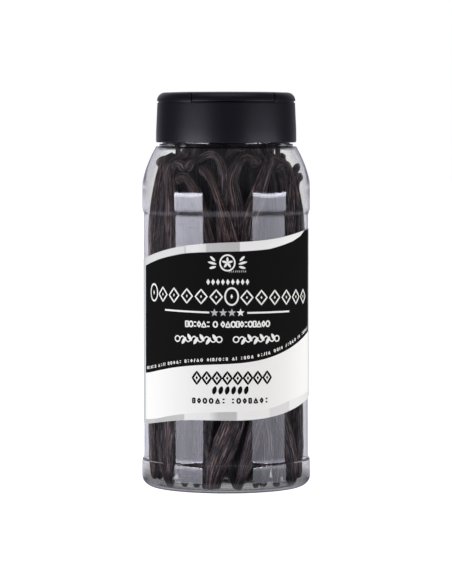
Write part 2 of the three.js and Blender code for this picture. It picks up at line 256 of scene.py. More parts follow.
def makeWorld():
    # white seen straight on and through the plastic; dim where it is mirrored; a soft fill on matt surfaces
    world = bpy.data.worlds.new("studio")
    scene.world = world
    world.use_nodes = True
    tree = world.node_tree
    tree.nodes.clear()
    path = addNode(tree, "ShaderNodeLightPath")
    matt = mathNode(tree, "GREATER_THAN", path.outputs["Diffuse Depth"], 0.5)
    mirrors = mathNode(tree, "GREATER_THAN", path.outputs["Glossy Depth"], 0.5)
    shiny = mathNode(tree, "SUBTRACT", mirrors, matt, clamp=True)
    sight = mathNode(tree, "ADD", path.outputs["Is Camera Ray"], path.outputs["Is Transmission Ray"])
    sight = mathNode(tree, "SUBTRACT", sight, matt, clamp=True)
    coords = addNode(tree, "ShaderNodeTexCoord")
    split = addNode(tree, "ShaderNodeSeparateXYZ")
    tree.links.new(coords.outputs["Generated"], split.inputs["Vector"])
    above = mathNode(tree, "MAXIMUM", split.outputs["Z"], 0.0)
    fill = stairs(tree, split.outputs["X"], studio["fill"])
    fill = mathNode(tree, "MULTIPLY_ADD", above, studio["fillAbove"], fill)
    backdrop = stairs(tree, split.outputs["Z"], studio["backdrop"])
    # behind the jar the backdrop is mirrored too
    behind = stairs(tree, split.outputs["Y"], studio["behindDepths"])
    behind = mathNode(tree, "MULTIPLY", behind, stairs(tree, split.outputs["X"], studio["behindSides"]))
    behind = mathNode(tree, "MAXIMUM", behind, stairs(tree, split.outputs["X"], studio["beside"]))
    behind = mathNode(tree, "MULTIPLY", behind, stairs(tree, split.outputs["Z"], studio["behindHeights"]))
    mirrored = mathNode(tree, "MAXIMUM", stairs(tree, split.outputs["Z"], studio["mirrored"]), behind)
    level = mathNode(tree, "MULTIPLY_ADD", sight, mathNode(tree, "SUBTRACT", backdrop, fill), fill)
    level = mathNode(tree, "MULTIPLY_ADD", shiny, mathNode(tree, "SUBTRACT", mirrored, level), level)
    tone = addNode(tree, "ShaderNodeMix", data_type="RGBA")
    tree.links.new(shiny, tone.inputs["Factor"])
    tone.inputs[6].default_value = (1, 1, 1, 1)
    tone.inputs[7].default_value = (*studio["mirroredColour"], 1)
    shade = addNode(tree, "ShaderNodeBackground")
    tree.links.new(tone.outputs[2], shade.inputs["Color"])
    tree.links.new(level, shade.inputs["Strength"])
    out = addNode(tree, "ShaderNodeOutputWorld")
    tree.links.new(shade.outputs[0], out.inputs["Surface"])


def makeFloor():
    half = studio["floorHalf"]
    floor = linkMesh("floor", [(-half, -half, 0), (half, -half, 0), (half, half, 0), (-half, half, 0)],
                     [(0, 1, 2, 3)], smooth=False)
    floor.location.z = -studio["floorDrop"]
    mat = bpy.data.materials.new("paleFloor")
    mat.use_nodes = True
    shader = mat.node_tree.nodes["Principled BSDF"]
    shader.inputs["Base Color"].default_value = (*studio["floorColour"], 1)
    shader.inputs["Roughness"].default_value = 1
    shader.inputs["Specular IOR Level"].default_value = 0
    shader.inputs["Emission Color"].default_value = (1, 1, 1, 1)
    shader.inputs["Emission Strength"].default_value = studio["floorGlow"]
    floor.data.materials.append(mat)
    floor.visible_glossy = False
    floor.visible_diffuse = False
    floor.visible_transmission = False
    floor.visible_shadow = False


scene.view_settings.view_transform = "Standard"
scene.view_settings.look = "None"
makeCamera()
makeWorld()
for side, box in studio["softboxes"].items():
    makeSoftbox(side + "Softbox", box)
makeFloor()
print("studio ready")


# surface effects that more than one material uses
def grainGroup():
    # fine all-over moulded or printed grain: a tone mask and a bump normal
    tree = newTree("surfaceGrain", "ShaderNodeTree",
                   [("Scale", "NodeSocketFloat", 900.0), ("Strength", "NodeSocketFloat", 0.2),
                    ("Distance", "NodeSocketFloat", 0.00005)],
                   [("Mask", "NodeSocketFloat"), ("Normal", "NodeSocketVector")])
    into = addNode(tree, "NodeGroupInput")
    out = addNode(tree, "NodeGroupOutput")
    coords = addNode(tree, "ShaderNodeTexCoord")
    noise = addNode(tree, "ShaderNodeTexNoise")
    noise.inputs["Detail"].default_value = 3
    tree.links.new(coords.outputs["Object"], noise.inputs["Vector"])
    tree.links.new(into.outputs["Scale"], noise.inputs["Scale"])
    bump = addNode(tree, "ShaderNodeBump")
    tree.links.new(into.outputs["Strength"], bump.inputs["Strength"])
    tree.links.new(into.outputs["Distance"], bump.inputs["Distance"])
    tree.links.new(noise.outputs["Fac"], bump.inputs["Height"])
    tree.links.new(noise.outputs["Fac"], out.inputs["Mask"])
    tree.links.new(bump.outputs["Normal"], out.inputs["Normal"])
    return tree


surfaceGrain = grainGroup()


def newMaterial(name):
    mat = bpy.data.materials.new(name)
    mat.use_nodes = True
    return mat, mat.node_tree, mat.node_tree.nodes["Principled BSDF"]


def placeGrain(tree, scale, strength, distance):
    node = addNode(tree, "ShaderNodeGroup", node_tree=surfaceGrain)
    node.inputs["Scale"].default_value = scale
    node.inputs["Strength"].default_value = strength
    node.inputs["Distance"].default_value = distance
    return node


def ramp(tree, source, low, high, fromMin=0.0, fromMax=1.0):
    # a source value spread between two colours
    spread = addNode(tree, "ShaderNodeMapRange")
    tree.links.new(source, spread.inputs["Value"])
    spread.inputs["From Min"].default_value = fromMin
    spread.inputs["From Max"].default_value = fromMax
    mix = addNode(tree, "ShaderNodeMix", data_type="RGBA")
    tree.links.new(spread.outputs["Result"], mix.inputs["Factor"])
    mix.inputs[6].default_value = (*low, 1)
    mix.inputs[7].default_value = (*high, 1)
    return mix.outputs[2]


# the clear jar: sizes in mm
jar = {
    "bandRadius": 41.0, "highBandRadius": 40.8, "panelRadius": 39.95, "wall": 0.9,
    "baseRadius": 35.0, "baseInner": 28.5, "floor": 1.1, "cornerHeight": 5.5,
    "domeRadius": 18.5, "domeHeight": 3.2, "pushUp": 4.0,
    # the step from the panel down to the lower band: (height in mm, slope in degrees) of each run
    "panelBottom": 16.4,
    "step": [(0.5, 2), (0.4, 5), (1.5, 8.0), (0.5, 45), (1.5, 8.0), (0.4, 5), (0.5, 2)],
    "panelTop": 132.4, "highBandBottom": 134.6,
    "shoulderStart": 145.0, "shoulderEnd": 165.0, "shoulderRadius": 33.9, "shoulderPower": 1.62,
    "ringRadius": 32.4, "ringTop": 166.3, "neckRadius": 30.9, "neckBore": 29.6, "neckTop": 184.9,
    "threadProud": 0.15,      # the thread's low end swells a little from the neck
    "steps": 180,
    # the plastic is darker at the base and the neck, partly for the thicker plastic there and partly as
    # painted shade, of the shadowed floor seen through the base and of the cap over the neck: (height in mm,
    # tone)
    "tones": [(0.0, 0.96), (1.2, 0.74), (3.0, 0.5), (6.0, 0.55), (10.0, 0.985), (163.8, 0.985),
              (165.0, 0.45)],
    "roughness": 0.03, "refraction": 1.55, "lampTint": (0.9, 0.9, 0.92),
    # blown plastic is a little wavy round, and smooth upwards
    "waveScale": 55, "waveUpwards": 0.25, "waveStrength": 0.25, "waveDepth": 0.0004,
    "softCorner": 0.3, "hardAngle": 40,
}


def shoulderAt(height):
    share = (height - jar["shoulderStart"]) / (jar["shoulderEnd"] - jar["shoulderStart"])
    share = min(max(share, 0), 1)
    narrowing = jar["highBandRadius"] - jar["shoulderRadius"]
    return jar["highBandRadius"] - narrowing * share ** jar["shoulderPower"]


def lowStep(inset):
    # the outline's corners on the step between the lower band and the panel, from the lower end up
    slopes = [high * math.tan(math.radians(slope)) for high, slope in jar["step"]]
    scale = (jar["bandRadius"] - jar["panelRadius"]) / sum(slopes)
    radius, height = jar["panelRadius"] - inset, jar["panelBottom"]
    rows = [(radius, height, jar["softCorner"])]
    for (high, slope), out in zip(jar["step"], slopes):
        radius, height = radius + out * scale, height - high
        rows.insert(0, (radius, height, jar["softCorner"]))
    return rows


def shoulderCorners(count, inset):
    rows = []
    for i in range(count + 1):
        share = 1 - (1 - i / count) ** 1.3
        height = jar["shoulderStart"] + share * (jar["shoulderEnd"] - jar["shoulderStart"])
        rows.append((shoulderAt(height) - inset, height - inset * share, 0))
    return rows


def baseCorner(count, inset):
    rows = []
    for i in range(count + 1):
        turn = i / count * math.pi / 2
        reach = (jar["bandRadius"] - jar["baseRadius"]) * math.sin(turn)
        rise = jar["cornerHeight"] * (1 - math.cos(turn))
        lift = jar["floor"] * (1 - i / count) if inset else 0
        rows.append((jar["baseRadius"] + reach - inset * math.sin(turn), rise + lift, 0))
    return rows


def clearPlastic():
    mat, tree, shader = newMaterial("clearPlastic")
    shader.inputs["Roughness"].default_value = jar["roughness"]
    shader.inputs["IOR"].default_value = jar["refraction"]
    shader.inputs["Transmission Weight"].default_value = 1
    coords = addNode(tree, "ShaderNodeTexCoord")
    split = addNode(tree, "ShaderNodeSeparateXYZ")
    tree.links.new(coords.outputs["Object"], split.inputs["Vector"])
    # painted shade: this tone by height darkens the base and the neck
    tone = stairs(tree, split.outputs["Z"], [(height * mm, value) for height, value in jar["tones"]])
    tree.links.new(tone, shader.inputs["Base Color"])
    drawn = addNode(tree, "ShaderNodeMapping")
    drawn.inputs["Scale"].default_value = (1, 1, jar["waveUpwards"])
    wave = addNode(tree, "ShaderNodeTexNoise")
    wave.inputs["Scale"].default_value = jar["waveScale"]
    wave.inputs["Detail"].default_value = 1
    bump = addNode(tree, "ShaderNodeBump")
    bump.inputs["Strength"].default_value = jar["waveStrength"]
    bump.inputs["Distance"].default_value = jar["waveDepth"]
    tree.links.new(coords.outputs["Object"], drawn.inputs["Vector"])
    tree.links.new(drawn.outputs["Vector"], wave.inputs["Vector"])
    tree.links.new(wave.outputs["Fac"], bump.inputs["Height"])
    tree.links.new(bump.outputs["Normal"], shader.inputs["Normal"])
    # lamp light passes straight through, so that it reaches the pods
    path = addNode(tree, "ShaderNodeLightPath")
    clear = addNode(tree, "ShaderNodeBsdfTransparent")
    clear.inputs["Color"].default_value = (*jar["lampTint"], 1)
    mix = addNode(tree, "ShaderNodeMixShader")
    tree.links.new(path.outputs["Is Shadow Ray"], mix.inputs["Fac"])
    tree.links.new(shader.outputs["BSDF"], mix.inputs[1])
    tree.links.new(clear.outputs["BSDF"], mix.inputs[2])
    tree.links.new(mix.outputs["Shader"], tree.nodes["Material Output"].inputs["Surface"])
    return mat


def makeJar():
    j = jar
    outside = [
        (0, j["pushUp"], 0),
        (j["domeRadius"], j["domeHeight"], 6),
        (j["baseInner"], 0, 1.5),
        *baseCorner(14, 0),
        *lowStep(0),
        (j["panelRadius"], j["panelTop"], 0.9),
        (j["highBandRadius"], j["highBandBottom"], 0.9),
        (j["highBandRadius"], j["shoulderStart"] - 0.7, 0),
        *shoulderCorners(26, 0),
        (j["shoulderRadius"] - 0.5, j["shoulderEnd"] + 0.02, 0.3),
        (j["ringRadius"], j["shoulderEnd"], 0.6),
        (j["ringRadius"], j["ringTop"], 0.6),
        (j["neckRadius"], j["ringTop"], 0.3),
        (j["neckRadius"] + j["threadProud"], j["ringTop"] + 2, 0.2),
        (j["neckRadius"], j["ringTop"] + 2.5, 0.3),
        (j["neckRadius"], j["neckTop"], 0.4),
    ]
    wall = j["wall"]
    inside = [
        (j["neckBore"], j["neckTop"], 0.4),
        (j["neckBore"], j["shoulderEnd"] - wall, 1.2),
        *reversed(shoulderCorners(20, wall)),
        (j["highBandRadius"] - wall, j["highBandBottom"], 0.9),
        (j["panelRadius"] - wall, j["panelTop"], 0.9),
        *reversed(lowStep(wall)),
        *reversed(baseCorner(10, wall)),
        (j["baseInner"], j["floor"], 1.5),
        (j["domeRadius"], j["domeHeight"] + j["floor"], 6),
        (0, j["pushUp"] + j["floor"], 0),
    ]
    piece = spun("clearJar", roundedOutline(outside) + roundedOutline(inside), j["steps"], closed=False)
    outwardFaces(piece)
    sharpBy(piece, jar["hardAngle"])
    piece.data.materials.append(clearPlastic())
    finishPiece(piece, "clear_plastic", "jar")
    print("jar:", len(piece.data.polygons), "faces")


makeJar()


# the cap and its two flaps: sizes in mm
cap = {
    "bottom": 167.0, "bottomRadius": 34.0, "straightTop": 172.0, "skirtTopRadius": 33.35,
    "lidRadius": 33.5, "top": 191.5, "edgeRadius": 4.0, "crown": 0.4, "crownRadius": 20,
    "bore": 32.4, "deckUnder": 185.2,
    "grooveBottom": 186.1, "grooveTop": 186.9, "grooveRadius": 32.9, "pocketFloor": 186.5,
    "turn": 7.4,      # degrees that the screwed-down cap stands turned from the label
    "flapWidth": 39.6, "flapUnderside": 186.9, "hingeHalf": 3.5, "gap": 0.45,
    "edgeSteps": 12, "steps": 192, "capBevel": 0.12, "flapBevel": 0.25,
    "colour": (0.0028, 0.0024, 0.0052), "roughness": 0.38, "shine": 0.4,
    "grain": (1400, 0.5, 0.00006),      # scale, strength, depth in metres
}


def capPlastic():
    mat, tree, shader = newMaterial("capPlastic")
    grain = placeGrain(tree, *cap["grain"])
    c = cap["colour"]
    tree.links.new(ramp(tree, grain.outputs["Mask"], [v * 0.75 for v in c], [v * 1.3 for v in c], 0.3, 0.7),
                   shader.inputs["Base Color"])
    shader.inputs["Roughness"].default_value = cap["roughness"]
    shader.inputs["Specular IOR Level"].default_value = cap["shine"]
    tree.links.new(grain.outputs["Normal"], shader.inputs["Normal"])
    return mat


def lidCorners(bottom):
    # the lid's side, round edge and slightly domed top
    c = cap
    rows = [(c["lidRadius"], bottom, 0.25)]
    for k in range(c["edgeSteps"] + 1):
        turn = math.radians(90 * k / c["edgeSteps"])
        rows.append((c["lidRadius"] - c["edgeRadius"] * (1 - math.cos(turn)),
                     c["top"] - c["crown"] - c["edgeRadius"] * (1 - math.sin(turn)), 0))
    return rows + [(c["crownRadius"], c["top"] - c["crown"] / 4, 5), (0, c["top"], 0)]


def flapCutter(side, spare, floor):
    c = cap
    near, far = c["hingeHalf"] - spare, c["lidRadius"] + 5      # the cutter reaches past the rim
    half = c["flapWidth"] / 2 + spare
    turn = math.radians(c["turn"])
    verts = []
    for z in (floor, floor + 10):
        for x, y in ((-half, near), (half, near), (half, far), (-half, far)):
            y *= side
            verts.append(((x * math.cos(turn) - y * math.sin(turn)) * mm,
                          (x * math.sin(turn) + y * math.cos(turn)) * mm, z * mm))
    faces = [(0, 1, 2, 3), (4, 7, 6, 5), (0, 4, 5, 1), (1, 5, 6, 2), (2, 6, 7, 3), (3, 7, 4, 0)]
    return outwardFaces(linkMesh("cutter", verts, faces, smooth=False))


def applied(piece):
    # the piece with its modifiers made real
    graph = bpy.context.evaluated_depsgraph_get()
    mesh = bpy.data.meshes.new_from_object(piece.evaluated_get(graph))
    piece.modifiers.clear()
    piece.data = mesh
    return piece


def cutBy(piece, cutter, operation):
    cut = piece.modifiers.new("cut", "BOOLEAN")
    cut.operation, cut.solver, cut.object = operation, "EXACT", cutter
    applied(piece)
    bpy.data.objects.remove(cutter)
    return piece


def softEdges(piece, width, angle=35):
    bevel = piece.modifiers.new("edges", "BEVEL")
    bevel.width, bevel.segments, bevel.limit_method = width * mm, 2, "ANGLE"
    bevel.angle_limit = math.radians(angle)
    applied(piece)
    return sharpBy(piece, 50)


def makeCap():
    c = cap
    mat = capPlastic()
    outside = [(c["bottomRadius"] - 0.4, c["bottom"], 0), (c["bottomRadius"], c["bottom"] + 0.4, 0.3),
               (c["bottomRadius"], c["straightTop"], 4), (c["skirtTopRadius"], c["grooveBottom"], 0.6),
               (c["grooveRadius"], c["grooveBottom"], 0.15), (c["grooveRadius"], c["grooveTop"], 0.15)]
    inner = [(0, c["deckUnder"], 0), (c["bore"], c["deckUnder"], 1.0), (c["bore"], c["bottom"], 0)]
    outline = roundedOutline(outside + lidCorners(c["grooveTop"]), 8) + roundedOutline(inner)
    body = outwardFaces(spun("screwCap", outline, c["steps"], closed=True))
    for side in (-1, 1):
        cutBy(body, flapCutter(side, c["gap"], c["pocketFloor"]), "DIFFERENCE")
    softEdges(body, c["capBevel"])
    body.data.materials.clear()
    body.data.materials.append(mat)
    finishPiece(body, "cap_plastic", "cap")
    for side, name, node in ((-1, "frontFlap", "cap_flap_front"), (1, "backFlap", "cap_flap_back")):
        lid = [(0, c["deckUnder"], 0)] + lidCorners(c["deckUnder"])
        solid = outwardFaces(spun(name, roundedOutline(lid, 8), c["steps"], closed=True))
        cutBy(solid, flapCutter(side, 0, c["flapUnderside"]), "INTERSECT")
        softEdges(solid, c["flapBevel"])
        solid.data.materials.clear()
        solid.data.materials.append(mat)
        finishPiece(solid, "cap_plastic", node)
    print("cap and flaps made")


makeCap()


# the wrap label: sizes in mm
label = {
    "inner": 40.05, "outer": 40.25, "columns": 720,
    # waves that climb from left to right, in mm: height in front, climb, how much steeper the sides
    # are, and the lift towards the back
    "top": (120.0, 6.0, 1.5, -2.2), "bottom": (35.4, 4.8, 1.75, 2.2),
    "border": (62.3, 8.34, 2.17, 4.2),       # between the black and the white field
    # widths of the silver bands in mm, by degrees round from the front
    "topBand": [(-76, 3.9), (-54, 3.5), (-30, 3.6), (-13, 4.1), (10, 4.4), (31, 4.5), (52, 3.25), (62, 2.0),
                (69, 0.05), (95, 0.05), (120, 2.5)],
    "bottomBand": [(-95, 2.5), (-55, 2.0), (-31, 3.0), (0, 4.1), (33, 4.3), (48, 5.0), (67, 4.0), (95, 2.5)],
    # tone of the silver bands from dark 0 to white 1: (degrees, tone); two at one place make a hard border
    "topTones": [(-90, 0.55), (-60, 0.72), (-30, 0.78), (-29.3, 0.8), (-29.3, 0.2), (-28.6, 0.2),
                 (-28.6, 0.86), (-20, 0.92), (-13.5, 0.8), (-13.5, 0.5), (9.5, 0.46), (9.5, 0.96),
                 (50, 0.95), (80, 0.8)],
    "bottomTones": [(-90, 0.4), (-60, 0.5), (-55, 0.42), (-30, 0.5), (-29.5, 0.86), (-12, 0.9), (-5, 0.5),
                    (6.6, 0.5), (8.0, 0.95), (30, 0.93), (32, 0.75), (48.6, 0.72), (48.8, 0.9), (80, 0.8)],
    "frontFrom": -74.4, "frontTo": 79.5, "paintedSheenMargin": 20.0,     # degrees; pale margins end the front panel: painted reflection of the white backdrop where the label turns away from view
    "proud": 0.05, "sunk": 0.04,      # how far the print stands out of the label and reaches into it
    "inkGrain": (2600, 0.06, 0.00002), "inkRoughness": 0.8, "inkShine": 0.04,
    "silverRoughness": 0.5, "silverShine": 0.1,
    "black": (0.0056, 0.0056, 0.0054), "white": (0.79, 0.78, 0.725), "grey": (0.45, 0.45, 0.44),
    "silverDark": (0.17, 0.17, 0.155), "silverLight": (0.8, 0.795, 0.75), "paintedSheenTone": (0.50, 0.51, 0.50),
}


def waveAt(name, angle):
    middle, climb, curl, behind = label[name]
    return middle + climb * math.sin(angle) - curl * math.sin(3 * angle) + behind * (1 - math.cos(angle))


def stepped(table, degrees):
    # a value between the table's points; the first and last points hold all round the back
    xs, ys = zip(*table)
    return float(np.interp(degrees, xs, ys))


def labelHeights(angle):
    # the borders of the printed fields, from the bottom edge up
    degrees = math.degrees(angle)
    bottom, top = waveAt("bottom", angle), waveAt("top", angle)
    return [bottom, bottom + stepped(label["bottomBand"], degrees), waveAt("border", angle),
            top - stepped(label["topBand"], degrees), top]


def ink(name, colour):
    mat, tree, shader = newMaterial(name)
    grain = placeGrain(tree, *label["inkGrain"])
    low, high = [v * 0.97 for v in colour], [min(v * 1.03, 1) for v in colour]
    tree.links.new(ramp(tree, grain.outputs["Mask"], low, high, 0.3, 0.7), shader.inputs["Base Color"])
    shader.inputs["Roughness"].default_value = label["inkRoughness"]
    shader.inputs["Specular IOR Level"].default_value = label["inkShine"]
    tree.links.new(grain.outputs["Normal"], shader.inputs["Normal"])
    return mat


def silverInk():
    mat, tree, shader = newMaterial("inkSilver")
    tone = addNode(tree, "ShaderNodeAttribute", attribute_name="tone")
    tree.links.new(ramp(tree, tone.outputs["Fac"], label["silverDark"], label["silverLight"]),
                   shader.inputs["Base Color"])
    shader.inputs["Roughness"].default_value = label["silverRoughness"]
    shader.inputs["Specular IOR Level"].default_value = label["silverShine"]
    return mat


def onLabel(u, z, radius):
    # u is mm round the label from the front middle, to the right
    turn = u / label["outer"]
    return (radius * math.sin(turn) * mm, -radius * math.cos(turn) * mm, z * mm)


def bar(u0, z0, u1, z1, width, widthEnd=None):
    # a straight stroke, cut so that it follows the label's curve
    length = math.hypot(u1 - u0, z1 - z0)
    count = max(1, math.ceil(length / 1.4))
    return ribbon([(u0 + (u1 - u0) * k / count, z0 + (z1 - z0) * k / count) for k in range(count + 1)],
                  width, widthEnd)


def ribbon(points, width, widthEnd=None, closed=False):
    widthEnd = width if widthEnd is None else widthEnd
    verts, faces = [], []
    count = len(points)
    for k, (u, z) in enumerate(points):
        before = points[k - 1] if k or closed else points[k]
        after = points[(k + 1) % count] if k < count - 1 or closed else points[k]
        du, dz = after[0] - before[0], after[1] - before[1]
        length = math.hypot(du, dz) or 1
        half = (width + (widthEnd - width) * k / max(count - 1, 1)) / 2
        verts += [(u - dz / length * half, z + du / length * half),
                  (u + dz / length * half, z - du / length * half)]
    for k in range(count if closed else count - 1):
        a, b = 2 * k, 2 * ((k + 1) % count)
        faces.append((a, a + 1, b + 1, b))
    return verts, faces


def ring(u, z, across, high, width, sides=24):
    points = [(u + across / 2 * math.cos(2 * math.pi * k / sides),
               z + high / 2 * math.sin(2 * math.pi * k / sides)) for k in range(sides)]
    return ribbon(points, width, closed=True)


def lozengeLine(u, z, across, high, width):
    points = []
    corners = [(across / 2, 0), (0, high / 2), (-across / 2, 0), (0, -high / 2)]
    for (u0, z0), (u1, z1) in zip(corners, corners[1:] + corners[:1]):
        points += [(u + u0 + (u1 - u0) * k / 3, z + z0 + (z1 - z0) * k / 3) for k in range(3)]
    return ribbon(points, width, closed=True)


def fan(u, z, outline):
    verts = [(u, z)] + [(u + du, z + dz) for du, dz in outline]
    count = len(outline)
    return verts, [(0, 1 + k, 1 + (k + 1) % count) for k in range(count)]


def lozenge(u, z, across, high):
    return fan(u, z, [(across / 2, 0), (0, high / 2), (-across / 2, 0), (0, -high / 2)])


def star(u, z, radius):
    outline = []
    for k in range(10):
        reach = radius if k % 2 == 0 else radius * 0.42
        turn = math.pi / 2 + math.pi * k / 5
        outline.append((reach * math.cos(turn), reach * math.sin(turn)))
    return fan(u, z, outline)


def leaf(u, z, length, across, turn):
    outline = []
    for k in range(12):
        t = 2 * math.pi * k / 12
        du, dz = length / 2 * math.cos(t), across / 2 * math.sin(t) * abs(math.sin(t)) ** 0.3
        outline.append((du * math.cos(turn) - dz * math.sin(turn),
                        du * math.sin(turn) + dz * math.cos(turn)))
    return fan(u, z, outline)


def blossom(u, z, radius, petals):
    shapes = []
    for k in range(petals):
        turn = math.pi / 2 + 2 * math.pi * k / petals
        reach = radius * 0.52
        shapes.append(leaf(u + reach * math.cos(turn), z + reach * math.sin(turn), radius * 0.95,
                           radius * 0.42, turn))
    return shapes


def polygonLine(u, z, corners, width):
    points = []
    for (u0, z0), (u1, z1) in zip(corners, corners[1:] + corners[:1]):
        points += [(u + u0 + (u1 - u0) * k / 2, z + z0 + (z1 - z0) * k / 2) for k in range(2)]
    return ribbon(points, width, closed=True)


def vine(u0, u1, z, high, waves, width):
    # a waving stem with a leaf in every bend and a curl at each end
    count = waves * 14
    points = []
    for k in range(count + 1):
        t = k / count
        points.append((u0 + (u1 - u0) * t, z + high * 0.2 * math.sin(2 * math.pi * waves * t)))
    shapes = [ribbon(points, width)]
    for k in range(2 * waves):
        t = (k + 0.5) / (2 * waves)
        side = -1 if k % 2 else 1
        u = u0 + (u1 - u0) * t
        shapes.append(leaf(u + high * 0.12, z - side * high * 0.12, high * 0.62, high * 0.26, side * 1.0))
    for end, side in ((u0, -1), (u1, 1)):
        shapes.append(ring(end + side * high * 0.2, z, high * 0.42, high * 0.42, width, 16))
    return shapes


# share of a motif's height that it is wide
motifWidths = {"o": 0.8, "d": 0.72, "t": 0.85, "i": 0.22, "e": 0.6, "s": 0.5, "b": 0.62, " ": 0.45}


def motif(kind, u, z, high, stroke):
    # one small ornament: ring, lozenge, triangle, post, pair of bars, slanted bar or box
    w, h = motifWidths[kind] * high / 2 - stroke / 2, high / 2 - stroke / 2
    if kind == "o":
        return [ring(u, z, 2 * w, 2 * h, stroke, 14)]
    if kind == "d":
        return [lozengeLine(u, z, 2 * w, 2 * h, stroke)]
    if kind == "t":
        return [polygonLine(u, z, [(-w, -h), (w, -h), (0, h)], stroke)]
    if kind == "b":
        return [polygonLine(u, z, [(-w, -h), (w, -h), (w, h), (-w, h)], stroke)]
    if kind == "i":
        return [bar(u, z - high / 2, u, z + high / 2, stroke)]
    if kind == "s":
        return [bar(u - w, z - high / 2, u + w, z + high / 2, stroke)]
    return [bar(u - w, z + side * h * 0.75, u + w, z + side * h * 0.75, stroke * 0.9) for side in (-1, 1)]


def motifRow(u0, u1, z, high, pattern, stroke, follow=None):
    # a row of motifs spread between two places; a follow function gives the height at each place
    widths = [motifWidths[kind] for kind in pattern]
    gap = ((u1 - u0) - sum(widths) * high) / (len(pattern) - 1)
    shapes = []
    u = u0
    for kind, w in zip(pattern, widths):
        middle = u + w * high / 2
        if kind != " ":
            level = z if follow is None else z + follow(middle)
            shapes += motif(kind, middle, level, high, stroke)
        u += w * high + gap
    return shapes


# the print's places in mm: u runs round the label to the right from its front middle, z is the height;
# a motif row is (u from, u to, z, height, pattern, stroke)
printPlan = {
    "emblem": {"u": 0.6, "z": 110.4, "across": 7.0, "high": 7.4, "stroke": 0.75, "blossom": 2.7},
    # leaves beside the emblem: (height, length, turn)
    "leaves": [(112.4, 3.4, 0.75), (110.3, 4.4, 0.25), (108.2, 3.4, -0.25)],
    "leafGap": 6.2, "leafAcross": 1.2,
    "tinyRow": (1.4, 9.4, 106.3, 0.9, "iissiisii", 0.2),
    "lozengeRow": {"first": -8.6, "pace": 2.35, "count": 9, "z": 101.3, "across": 1.8, "high": 3.0},
    # the wide chain of lozenges, with a ring in some places: (across, high, stroke), a heart (across, high)
    "chain": {"first": -41.5, "pace": 7.35, "count": 13, "z": 94.1, "fall": 0.02,
              "link": (5.8, 6.7, 0.75), "linkHeart": (0.9, 1.5),
              "rings": (0, 6), "ring": (6.2, 8.0, 0.8), "ringHeart": (1.2, 2.4), "ringLift": 0.4},
    # straight rules: (u, z) to (u, z) and the stroke; four stars stand between them
    "rules": [(-32.6, 87.4, -8.1, 86.8, 0.85), (10.1, 86.6, 34.0, 86.6, 0.85)],
    "stars": {"first": -5.6, "pace": 4.15, "count": 4, "z": 86.7, "radius": 2.0},
    "wideRow": (-20.4, 22.0, 81.2, 3.3, "boedte o dtobdeobtdo", 0.72),
    # (u from, u to, z, height, waves, stroke)
    "vines": [(-23.4, -4.6, 74.0, 6.4, 3, 0.6), (6.0, 24.6, 74.0, 6.4, 3, 0.6)],
    # this row's z is its height over the border of the white field, which it follows
    "borderRow": (-50.0, 54.5, 2.4, 1.6,
                  "obedieb tesi bodte bedsto dibsoeb ti ebot desit obid sebto id ebotse", 0.4),
    "darkChain": {"first": -14.3, "pace": 4.95, "count": 8, "z": 55.6,
                  "link": (4.2, 5.8, 1.05), "linkHeart": (1.3, 1.9)},
    "darkLeaves": {"first": -5.6, "pace": 3.05, "count": 6, "z": 49.8, "length": 4.1, "across": 2.2},
    "darkRow": (-16.7, 20.9, 44.75, 2.9, "bdoote eodbtde", 0.8),
}


def places(row):
    return [row["first"] + row["pace"] * k for k in range(row["count"])]


def emblem():
    # a blossom in a ring between leaves
    mark = printPlan["emblem"]
    shapes = [ring(mark["u"], mark["z"], mark["across"], mark["high"], mark["stroke"], 32)]
    shapes += blossom(mark["u"], mark["z"], mark["blossom"], 5)
    for side in (-1, 1):
        for z, length, turn in printPlan["leaves"]:
            u = mark["u"] + side * (printPlan["leafGap"] + length / 4)
            shapes.append(leaf(u, z, length, printPlan["leafAcross"], side * turn))
    return shapes


def titleChain():
    chain = printPlan["chain"]
    shapes = []
    for k, u in enumerate(places(chain)):
        z = chain["z"] - chain["fall"] * u
        if k in chain["rings"]:
            z += chain["ringLift"]
            shapes += [ring(u, z, *chain["ring"], 32), lozenge(u, z, *chain["ringHeart"])]
        else:
            shapes += [lozengeLine(u, z, *chain["link"]), lozenge(u, z, *chain["linkHeart"])]
    return shapes


def printedStars():
    row = printPlan["stars"]
    return [star(u, row["z"], row["radius"]) for u in places(row)]


def aboveBorder(u):
    return waveAt("border", u / label["outer"])


def whitePrint():
    small = printPlan["lozengeRow"]
    shapes = emblem() + motifRow(*printPlan["tinyRow"])
    shapes += [lozenge(u, small["z"], small["across"], small["high"]) for u in places(small)]
    shapes += titleChain()
    shapes += [bar(*rule) for rule in printPlan["rules"]]
    shapes += printedStars()[-1:]
    shapes += motifRow(*printPlan["wideRow"])
    for row in printPlan["vines"]:
        shapes += vine(*row)
    return shapes + motifRow(*printPlan["borderRow"], aboveBorder)


def greyPrint():
    return printedStars()[:-1]


def blackPrint():
    chain, leaves = printPlan["darkChain"], printPlan["darkLeaves"]
    shapes = []
    for u in places(chain):
        shapes += [lozengeLine(u, chain["z"], *chain["link"]), lozenge(u, chain["z"], *chain["linkHeart"])]
    upright = math.pi / 2 - 0.25
    shapes += [leaf(u, leaves["z"], leaves["length"], leaves["across"], upright) for u in places(leaves)]
    return shapes + motifRow(*printPlan["darkRow"])


def makePrint(name, shapes, mat):
    # every shape a thin closed solid, sunk a little into the label
    verts, faces = [], []
    for flat, cells in shapes:
        first, count = len(verts), len(flat)
        verts += [onLabel(u, z, label["outer"] + label["proud"]) for u, z in flat]
        verts += [onLabel(u, z, label["outer"] - label["sunk"]) for u, z in flat]
        edges = {}
        for cell in cells:
            faces.append(tuple(first + v for v in cell))
            faces.append(tuple(first + count + v for v in reversed(cell)))
            for a, b in zip(cell, cell[1:] + cell[:1]):
                edges[(a, b)] = True
        for a, b in edges:
            if (b, a) not in edges:
                faces.append((first + a, first + count + a, first + count + b, first + b))
    piece = linkMesh(name, verts, faces, smooth=False)
    outwardFaces(piece)
    piece.data.materials.append(mat)
    finishPiece(piece, "label_film", "label")


